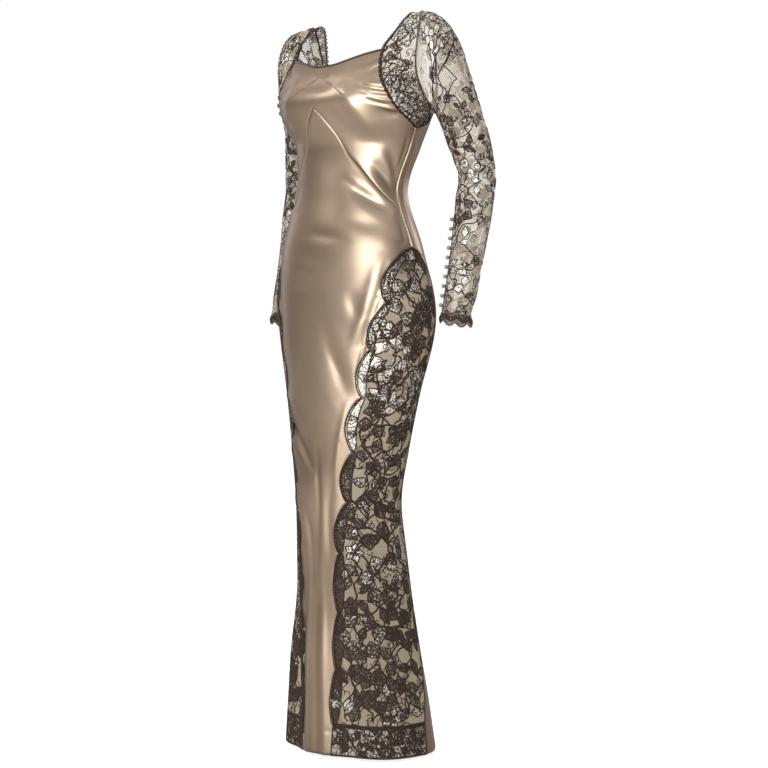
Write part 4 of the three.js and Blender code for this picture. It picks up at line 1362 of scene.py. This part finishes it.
class GOWN_OT_side_lace(GownPiece, bpy.types.Operator):
    """Sets the scalloped lace panels into both sides, with the straight border at their hem"""

    bl_idname = "gown.side_lace"
    bl_label = "Side Lace"

    def execute(self, context):
        settings = context.scene.gown_lace
        net = net_material(settings)
        columns = 40
        half = columns // 2 + 1
        top = chain(straight(LACE_FRONT[0], LACE_TOP, half), straight(LACE_TOP, LACE_BACK[0], half))
        bottom = straight(LACE_FRONT[-1], LACE_BACK[-1], columns + 1)
        places = patch(top, bottom, LACE_FRONT, LACE_BACK)
        dense = self.density(places)
        border = ruled(straight(*BORDER_FRONT, 14), straight(*BORDER_REAR, 14), columns + 1)
        close = np.full(border.shape[:2], 0.35)
        for side, mirror in SIDES.items():
            name, nodes = f"side_net_{side}", [f"side_lace_{side}"]
            net_sheet(name, places, on_body, net, dense, mirror, nodes)
            work = LaceWork(on_body, lambda p: in_outline(p, LACE_OUTLINE), mirror)
            self.lay_lace(work, settings, np.random.default_rng(11 + mirror))
            work.finish(f"side_cordwork_{side}", settings)

            name, nodes = f"border_net_{side}", [f"hem_border_{side}"]
            net_sheet(name, border, on_body, net, close, mirror, nodes)
            work = LaceWork(on_body, lambda p: in_outline(p, BORDER_OUTLINE), mirror)
            self.lay_border(work, settings, np.random.default_rng(31 + mirror))
            work.finish(f"border_cordwork_{side}", settings)
        return {"FINISHED"}

    def density(self, places):
        """Where the ground is close and dark: at the top, and down the front and rear edges."""
        angle, z = places[..., 0], places[..., 1]
        inwards = (angle - front_angle(z)) * 2.2
        top = np.interp(-z, [461, 500, 560], [0.75, 0.5, -0.5])
        strip = np.interp(inwards, [0, 14, 34], [1, 0.8, -1]) * np.interp(-z, [950, 1080], [0, 0.4])
        rear = np.interp(angle, [84, 118], [-1, 0.35])
        ground = np.interp(-z, [461, 900, 1100], [-0.25, -0.35, -0.55])
        return np.maximum.reduce([top, strip, rear, ground])

    def lay_lace(self, work, settings, rng):
        wide = settings.cord
        inner = LACE_FRONT.copy()
        lobe_t = np.arange(len(LACE_FRONT)) / LOBE_STEPS % 1
        depth = 5 + 17 * np.sin(np.pi * lobe_t) ** 0.6
        inner[:, 0] += depth / local_scale(on_body, LACE_FRONT)[:, 0]
        sites, row_of = scattered_sites(rng, side_rows(), 7)
        low, high, size = (14, HEM_Z), (124, LACE_TOP_Z), 1.75 * settings.motif
        decorate(work, rng, sites, row_of, low, high, silver_on_side, size, wide * 1.15, 300)
        silver = LACE_LOBES["silver"][:-1]
        lobe_border(work, inner, silver + rng.uniform(-0.04, 0.04, LOBES))
        self.edge_cords(work, LACE_FRONT, inner, wide, np.repeat(silver, LOBE_STEPS))
        work.cords(LACE_BACK[None], wide * 1.4, clip=False)
        top = chain(straight(LACE_FRONT[0], LACE_TOP, 6), straight(LACE_TOP, LACE_BACK[0], 6))
        work.cords(top[None], wide * 1.4, clip=False)

    def edge_cords(self, work, edge, inner, wide, shine):
        """Two cords round every scallop, an inner cord, eyelashes, and crossing threads in the
        crescent.
        """
        scale = local_scale(on_body, edge)
        for shift, width in ((-1.2, 1.0), (2.8, 0.7)):
            line = edge + np.stack([shift / scale[:, 0], 0 * edge[:, 0]], -1)
            work.cords(line[None], wide * width, 1.3, lift=CORD_LIFT + 0.9, clip=False)
        work.cords(inner[None], wide, 1.0, clip=False)
        lashes = eyelashes(edge, on_body, 5.0, 2.6, 1.0)
        work.cords(lashes, 0.7, 0.5, lift=CORD_LIFT + 0.9, clip=False, silver=0.1)
        # crossing threads in the crescent between the edge and the inner cord
        t = np.linspace(0, 1, 3)[None, :, None]
        i = np.arange(len(edge) - 3)
        for lean in (0, 3):
            a, b = edge[i + lean][:, None], inner[i + 3 - lean][:, None]
            work.cords(a * (1 - t) + b * t, 0.9, 0.7, silver=shine[i] * 0.8, clip=False)

    def lay_border(self, work, settings, rng):
        wide = settings.cord
        ends = HEM_FRONT_ANGLE + 2, HEM_REAR_ANGLE - 1
        rows = [(*ends, z, 34, scale_at(on_body, 60.0, z)) for z in (-1402, -1431)]
        sites, row_of = scattered_sites(rng, rows, 3)
        low, high, size = (14, HEM_Z), (114, BORDER_TOP_Z), 0.72 * settings.motif
        dark = lambda s: np.full(len(s), 0.05)
        decorate(work, rng, sites, row_of, low, high, dark, size, wide, 260)
        for z, width in ((BORDER_TOP_Z, 2.2), (BORDER_TOP_Z - 4, 1.2), (HEM_Z + 1.5, 1.6)):
            t = (BORDER_TOP_Z - z) / (BORDER_TOP_Z - HEM_Z)
            ends = [line[0] * (1 - t) + line[1] * t for line in (BORDER_FRONT, BORDER_REAR)]
            work.cords(straight(*ends, 80)[None], wide * width, 1.2, clip=False)
        for ends in (BORDER_FRONT, BORDER_REAR):
            work.cords(straight(*ends, 12)[None], wide * 1.3, 1.1, clip=False)


class GOWN_OT_yokes(GownPiece, bpy.types.Operator):
    """Sets the lace yokes round the armholes and over the shoulders"""

    bl_idname = "gown.yokes"
    bl_label = "Lace Yokes"

    def execute(self, context):
        settings = context.scene.gown_lace
        net = net_material(settings)
        for part, rows, seed in (("front", YOKE_FRONT, 51), ("back", YOKE_BACK, 61)):
            arm, outer = yoke_line(rows, "arm", 49), yoke_line(rows, "outer", 49)
            places = ruled(arm, outer, 15)
            if part == "back":
                places = places[:, ::-1]
            outline = np.concatenate([arm, outer[::-1]])
            dense = np.interp(-places[..., 1], [0, 85, 130, 226], [-0.7, -0.5, 0.2, 0.4])
            for side, mirror in SIDES.items():
                name, nodes = f"yoke_net_{part}_{side}", [f"yoke_{part}_{side}"]
                net_sheet(name, places[:, ::-1], on_body, net, dense, mirror, nodes)
                work = LaceWork(on_body, lambda p: in_outline(p, outline), mirror)
                self.lay_lace(work, settings, arm, outer, np.random.default_rng(seed + mirror))
                work.finish(f"yoke_cordwork_{part}_{side}", settings)
        return {"FINISHED"}

    def lay_lace(self, work, settings, arm, outer, rng):
        wide = settings.cord
        rows = []
        for z in (-18, -52, -84, -110, -136, -162, -186, -207):
            a, b = (np.interp(-z, -line[:, 1], line[:, 0]) for line in (arm, outer))
            rows.append((min(a, b), max(a, b), z, 33, scale_at(on_body, (a + b) / 2, z)))
        sites, row_of = scattered_sites(rng, rows, 4)
        silver = lambda s: np.interp(-s[:, 1], [0, 60, 110, 200], [0.6, 0.65, 0.85, 0.8])
        low = (min(arm[:, 0].min(), outer[:, 0].min()), -226)
        high = (max(arm[:, 0].max(), outer[:, 0].max()), 0)
        size = 0.92 * settings.motif
        decorate(work, rng, sites, row_of, low, high, silver, size, wide * 0.82, 70)
        work.cords(outer[None], wide * 1.7, 1.3, lift=CORD_LIFT + 0.6, clip=False)
        # small picots along the neck edge and the seam
        t, knots = np.linspace(0, 1, len(outer) * 4), np.linspace(0, 1, len(outer))
        line = np.stack([np.interp(t, knots, outer[:, k]) for k in (0, 1)], -1)
        bump = np.abs(np.sin(t * np.pi * 34)) * 4.2 * np.sign(outer[10, 0] - arm[10, 0])
        line[:, 0] += bump / np.interp(t, knots, local_scale(on_body, outer)[:, 0])
        work.cords(line[None], wide * 0.9, 1.0, lift=CORD_LIFT + 0.6, clip=False)


class GOWN_OT_sleeves(GownPiece, bpy.types.Operator):
    """Sets in the two long lace sleeves with their scalloped cuffs"""

    bl_idname = "gown.sleeves"
    bl_label = "Lace Sleeves"

    def execute(self, context):
        settings = context.scene.gown_lace
        net = net_material(settings)
        turn = np.linspace(0, 360, 72, endpoint=False)
        t = np.linspace(0, 1, 111)[:, None]
        places = np.stack([np.broadcast_to(turn, (111, 72)), t * cuff_end(turn)], -1)
        down = [0, 40, 190, 215, 240, 560, 620]
        dense = np.interp(places[..., 1], down, [-0.45, -0.8, -0.8, -0.45, -0.75, -0.7, -0.3])
        for side, mirror in SIDES.items():
            nodes = [f"sleeve_{part}_{side}" for part in ("head", "upper", "lower")]
            net_sheet(f"sleeve_net_{side}", places, on_sleeve, net, dense, mirror, nodes, wrap=True)
            work = LaceWork(on_sleeve, self.inside, mirror)
            self.lay_lace(work, settings, np.random.default_rng(71 + mirror))
            work.finish(f"sleeve_cordwork_{side}", settings)
        return {"FINISHED"}

    def inside(self, places):
        return (places[..., 1] > 1) & (places[..., 1] < cuff_end(places[..., 0]) - 0.5)

    def lay_lace(self, work, settings, rng):
        wide = settings.cord
        rows = []
        for number, level in enumerate(np.arange(70, RING_ALONG[-1] - 12, 45)):
            first = 25.0 * (number % 2)
            rows.append((first, first + 360, level, 52, scale_at(on_sleeve, 20.0, level)))
        head = [(-88, 88, level, 52, 1.1) for level in (8, 27, 47)]
        head_sites, head_rows = scattered_sites(rng, head, 3)
        sites, row_of = scattered_sites(rng, rows, 5)
        sites = np.concatenate([head_sites, sites])
        row_of = np.concatenate([head_rows, row_of + len(head)])
        down = [0, 50, 110, 200, 330, 370, 410, 450, 480, 520, 600]
        share = [0.9, 0.95, 0.6, 0.5, 0.65, 1, 1, 0.65, 0.95, 0.65, 0.65]
        silver = lambda s: np.interp(s[:, 1], down, share)
        low, high = (0, 4), (360, RING_ALONG[-1])
        decorate(work, rng, sites, row_of, low, high, silver, settings.motif, wide * 0.68, 120)
        ring = np.linspace(0, 360, 145)
        edge = np.stack([ring, cuff_end(ring) - 1], -1)
        for up, width in ((0, 1.5), (5, 1.0)):
            work.cords((edge - (0, up))[None], wide * width, 1.1, clip=False)
        work.cords(eyelashes(edge, on_sleeve, 4.0, 2.6, -1.0), 0.7, 0.5, clip=False)
        # clothwork fans in the cuff's scallops
        starts = np.arange(18)[:, None] * 8 + np.arange(STROKE)
        starts = starts[starts[:, -1] < len(edge)]
        pairs = np.stack([edge[starts] - (0, 1), edge[starts] - (0, 15)], 1)
        work.fill(pairs, np.full(len(pairs), 0.45))


def cuff_end(turn):
    """Where the sleeve ends at each turn: the last ring, with the scallops hanging below it."""
    wave = 0.5 - 0.5 * np.cos(np.radians(turn) * CUFF_SCALLOPS)
    return RING_ALONG[-1] + CUFF_SCALLOP_DEPTH * wave**0.6


class GOWN_OT_buttons(GownPiece, bpy.types.Operator):
    """Sews ten covered buttons and their loops on a placket down each forearm"""

    bl_idname = "gown.buttons"
    bl_label = "Buttons"

    def execute(self, context):
        settings = context.scene.gown_buttons
        binding = binding_material(context.scene.gown_satin)
        cover = made_once("covered_button_satin", ribbon_satin, settings.colour)
        radius = settings.diameter / 2
        along = along_at_height(np.linspace(BUTTON_FIRST_Z, BUTTON_LAST_Z, BUTTONS_PER_SLEEVE))
        places = np.stack([np.full(len(along), float(BUTTON_FACE)), along], -1)
        centres, normals = on_sleeve(places, 1.8 + radius)
        tangents = unit(np.gradient(centres, axis=0))
        balls = joined([self.ball(c, n, t, radius) for c, n, t in zip(centres, normals, tangents)])
        loops = self.loops(places)
        along = np.linspace(*along_at_height([PLACKET_TOP_Z, PLACKET_BOTTOM_Z]), 60)
        strip, normal = on_sleeve(np.stack([np.full(60, float(BUTTON_FACE)), along], -1), 1.9)
        down = unit(np.gradient(strip, axis=0))
        placket = sweep(strip, unit(np.cross(down, normal)), normal, 3.4, 0.8)
        for side, mirror in SIDES.items():
            numbered = [f"button_{side}_{k + 1}" for k in range(BUTTONS_PER_SLEEVE)]
            for name, mesh, material, slot, nodes in (
                ("buttons", balls, cover, "covered_button", numbered),
                ("button_loops", loops, binding, "satin_binding", ()),
                ("placket", placket, binding, "satin_binding", [f"button_placket_{side}"]),
            ):
                obj = make_object(f"{name}_{side}", *flipped(*mesh, mirror), [material])
                settle(obj, nodes)
        return {"FINISHED"}

    def ball(self, centre, normal, tangent, radius):
        """A covered ball: a sphere, flattened a little at its foot, with tucks of cloth there."""
        rings, sides = 12, 20
        v, u = np.mgrid[0 : rings + 1, 0:sides]
        polar, turn = np.pi * v / rings, 2 * np.pi * u / sides
        tuck = 1 - 0.05 * (0.5 - 0.5 * np.cos(9 * turn)) * np.clip((polar - 1.6) / 1.2, 0, 1)
        side = np.cross(normal, tangent)
        r = radius * tuck
        height = np.cos(polar) * np.where(polar > np.pi / 2, 0.9, 1.0)
        ball = centre + (
            normal * (r * height)[..., None]
            + side * (r * np.sin(polar) * np.cos(turn))[..., None]
            + tangent * (r * np.sin(polar) * np.sin(turn))[..., None]
        )
        top, bottom = ball[0, 0], ball[-1, 0]
        points = np.concatenate([ball[1:-1].reshape(-1, 3), [top, bottom]])
        quads = grid_faces(rings - 1, sides, wrap=True)
        ring = np.arange(sides)
        after, last = (ring + 1) % sides, (rings - 2) * sides
        pole = np.full(sides, (rings - 1) * sides)
        caps = [
            np.stack([pole, ring, after], -1),
            np.stack([pole + 1, last + after, last + ring], -1),
        ]
        return points, [quads, *caps]

    def loops(self, places):
        """Thin corded loops from the sleeve's edge round each button."""
        t = np.linspace(-1, 1, 13)
        parts = []
        for turn, along in places:
            a = np.stack([turn - 4 - 14 * np.cos(t * np.pi / 2), along + t * 3.4], -1)
            centres, normals = on_sleeve(a, 2.0 + 2.0 * np.cos(t * np.pi / 2))
            side = unit(np.cross(unit(np.gradient(centres, axis=0)), normals))
            parts.append(sweep(centres, side, normals, 1.1, 0.9, 6))
        return joined(parts)


class GOWN_OT_sheets(GownPiece, bpy.types.Operator):
    """Lists each side's sleeve cordwork, armhole binding, buttons, button loops and placket by name,
    and does nothing more with them
    """

    bl_idname = "gown.sheets"
    bl_label = "Sheets"

    def execute(self, context):
        for side in SIDES:
            worn = ("sleeve_cordwork", "armhole_binding", "buttons", "button_loops", "placket")
            worn = [f"{piece}_{side}" for piece in worn]
        return {"FINISHED"}


class GOWN_OT_stage(GownPiece, bpy.types.Operator):
    """Sets the pale floor, the soft lights and the camera"""

    bl_idname = "gown.stage"
    bl_label = "Stage"

    def execute(self, context):
        settings = context.scene.gown_stage
        scene = context.scene
        material, tree, output = new_material("pale_studio_floor")
        shader = add_node(tree, "ShaderNodeBsdfPrincipled", Roughness=0.9)
        shader.inputs["Base Color"].default_value = srgb("c9c5c0")
        # The floor meets the white surround without a line: the camera sees it lit from within.
        glow = add_node(tree, "ShaderNodeEmission", Strength=0.8)
        both = tree.nodes.new("ShaderNodeAddShader")
        tree.links.new(shader.outputs[0], both.inputs[0])
        tree.links.new(glow.outputs[0], both.inputs[1])
        seen = add_node(tree, "ShaderNodeLightPath").outputs["Is Camera Ray"]
        mixed = tree.nodes.new("ShaderNodeMixShader")
        for socket, source in zip(mixed.inputs, (seen, shader.outputs[0], both.outputs[0])):
            tree.links.new(source, socket)
        tree.links.new(mixed.outputs[0], output.inputs[0])
        a = np.linspace(0, 2 * np.pi, 96, endpoint=False)
        rim = np.stack([40000 * np.cos(a), 40000 * np.sin(a), np.full(96, HEM_Z - 6.0)], -1)
        floor = make_object("studio_floor", rim, [np.arange(96)[None]], [material])

        world = bpy.data.worlds.new("soft_studio")
        scene.world = world
        world.use_nodes = True
        tree = world.node_tree
        tree.nodes.clear()
        seen = add_node(tree, "ShaderNodeBackground", Strength=1.0)
        seen.inputs["Color"].default_value = (1, 1, 1, 1)
        lit = add_node(tree, "ShaderNodeBackground", Strength=1.0)
        way = add_node(tree, "ShaderNodeTexCoord").outputs["Generated"]
        parts = add_node(tree, "ShaderNodeSeparateXYZ", {"Vector": way}).outputs
        sky = colour_mix(tree, remap(tree, parts[2], -0.1, 0.75, 0, 1), "2e2a27", "dcd8d2")
        # a dark screen at the wearer's left, which the side of the bodice mirrors
        aside = math_node(tree, "MULTIPLY", parts[0], 0.95)
        aside = math_node(tree, "ADD", aside, math_node(tree, "MULTIPLY", parts[1], 0.3))
        sky = colour_mix(tree, remap(tree, aside, 0.7, 0.92, 0, 0.9), sky, "16120f")
        tree.links.new(sky, lit.inputs["Color"])
        path = add_node(tree, "ShaderNodeLightPath")
        mix = add_node(tree, "ShaderNodeMixShader")
        tree.links.new(path.outputs["Is Camera Ray"], mix.inputs[0])
        tree.links.new(lit.outputs[0], mix.inputs[1])
        tree.links.new(seen.outputs[0], mix.inputs[2])
        tree.links.new(mix.outputs[0], tree.nodes.new("ShaderNodeOutputWorld").inputs[0])

        middle = Vector((0, -0.02, -0.65))
        for name, power, place, size in (
            ("key", settings.key, (3.4, -5.8, 0.1), (5.0, 4.0)),
            ("fill", settings.fill, (-2.4, -3.4, 2.2), (1.4, 1.4)),
            ("rim", settings.rim, (0.4, 3.4, 0.6), (1.0, 2.6)),
            ("side", settings.rim * 0.3, (-3.4, 0.2, 0.4), (0.8, 2.6)),
        ):
            light = bpy.data.lights.new(name, "AREA")
            light.shape, light.size, light.size_y, light.energy = "RECTANGLE", *size, power
            lamp = bpy.data.objects.new(name, light)
            lamp.location = place
            lamp.rotation_euler = (middle - lamp.location).to_track_quat("-Z", "Y").to_euler()
            scene.collection.objects.link(lamp)

        camera = bpy.data.cameras.new("camera")
        camera.lens, camera.sensor_width = settings.lens, 36
        camera.shift_x, camera.shift_y = 0.0378, -0.0638
        camera.clip_end = 100
        viewer = bpy.data.objects.new("camera", camera)
        viewer.location = (2.8284, -2.8604, -0.63)
        viewer.rotation_euler = (math.pi / 2, 0, math.pi / 4)
        scene.collection.objects.link(viewer)
        scene.camera = viewer
        scene.view_settings.view_transform = "Standard"
        scene.cycles.transparent_max_bounces = 32
        return {"FINISHED"}


OPERATORS = (
    GOWN_OT_stage,
    GOWN_OT_satin,
    GOWN_OT_bindings,
    GOWN_OT_side_lace,
    GOWN_OT_yokes,
    GOWN_OT_sleeves,
    GOWN_OT_buttons,
    GOWN_OT_sheets,
)
GROUPS = {
    "gown_satin": SatinSettings,
    "gown_lace": LaceSettings,
    "gown_buttons": ButtonSettings,
    "gown_stage": StageSettings,
}


class GOWN_PT_panel(bpy.types.Panel):
    """The gown's settings and pieces"""

    bl_label = "Gown"
    bl_idname = "GOWN_PT_panel"
    bl_space_type = "VIEW_3D"
    bl_region_type = "UI"
    bl_category = "Gown"

    def draw(self, context):
        for name, group in GROUPS.items():
            box = self.layout.box()
            box.label(text=group.__doc__)
            for key in group.__annotations__:
                box.prop(getattr(context.scene, name), key)
        for operator in OPERATORS:
            self.layout.operator(operator.bl_idname)


def register():
    for cls in (*GROUPS.values(), *OPERATORS, GOWN_PT_panel):
        bpy.utils.register_class(cls)
    for name, group in GROUPS.items():
        setattr(bpy.types.Scene, name, PointerProperty(type=group))


def unregister():
    for name in GROUPS:
        delattr(bpy.types.Scene, name)
    for cls in (GOWN_PT_panel, *reversed(OPERATORS), *reversed(GROUPS.values())):
        bpy.utils.unregister_class(cls)


def main():
    """Builds the whole gown."""
    register()
    for operator in OPERATORS:
        group, name = operator.bl_idname.split(".")
        getattr(getattr(bpy.ops, group), name)()


if __name__ == "__main__":
    main()
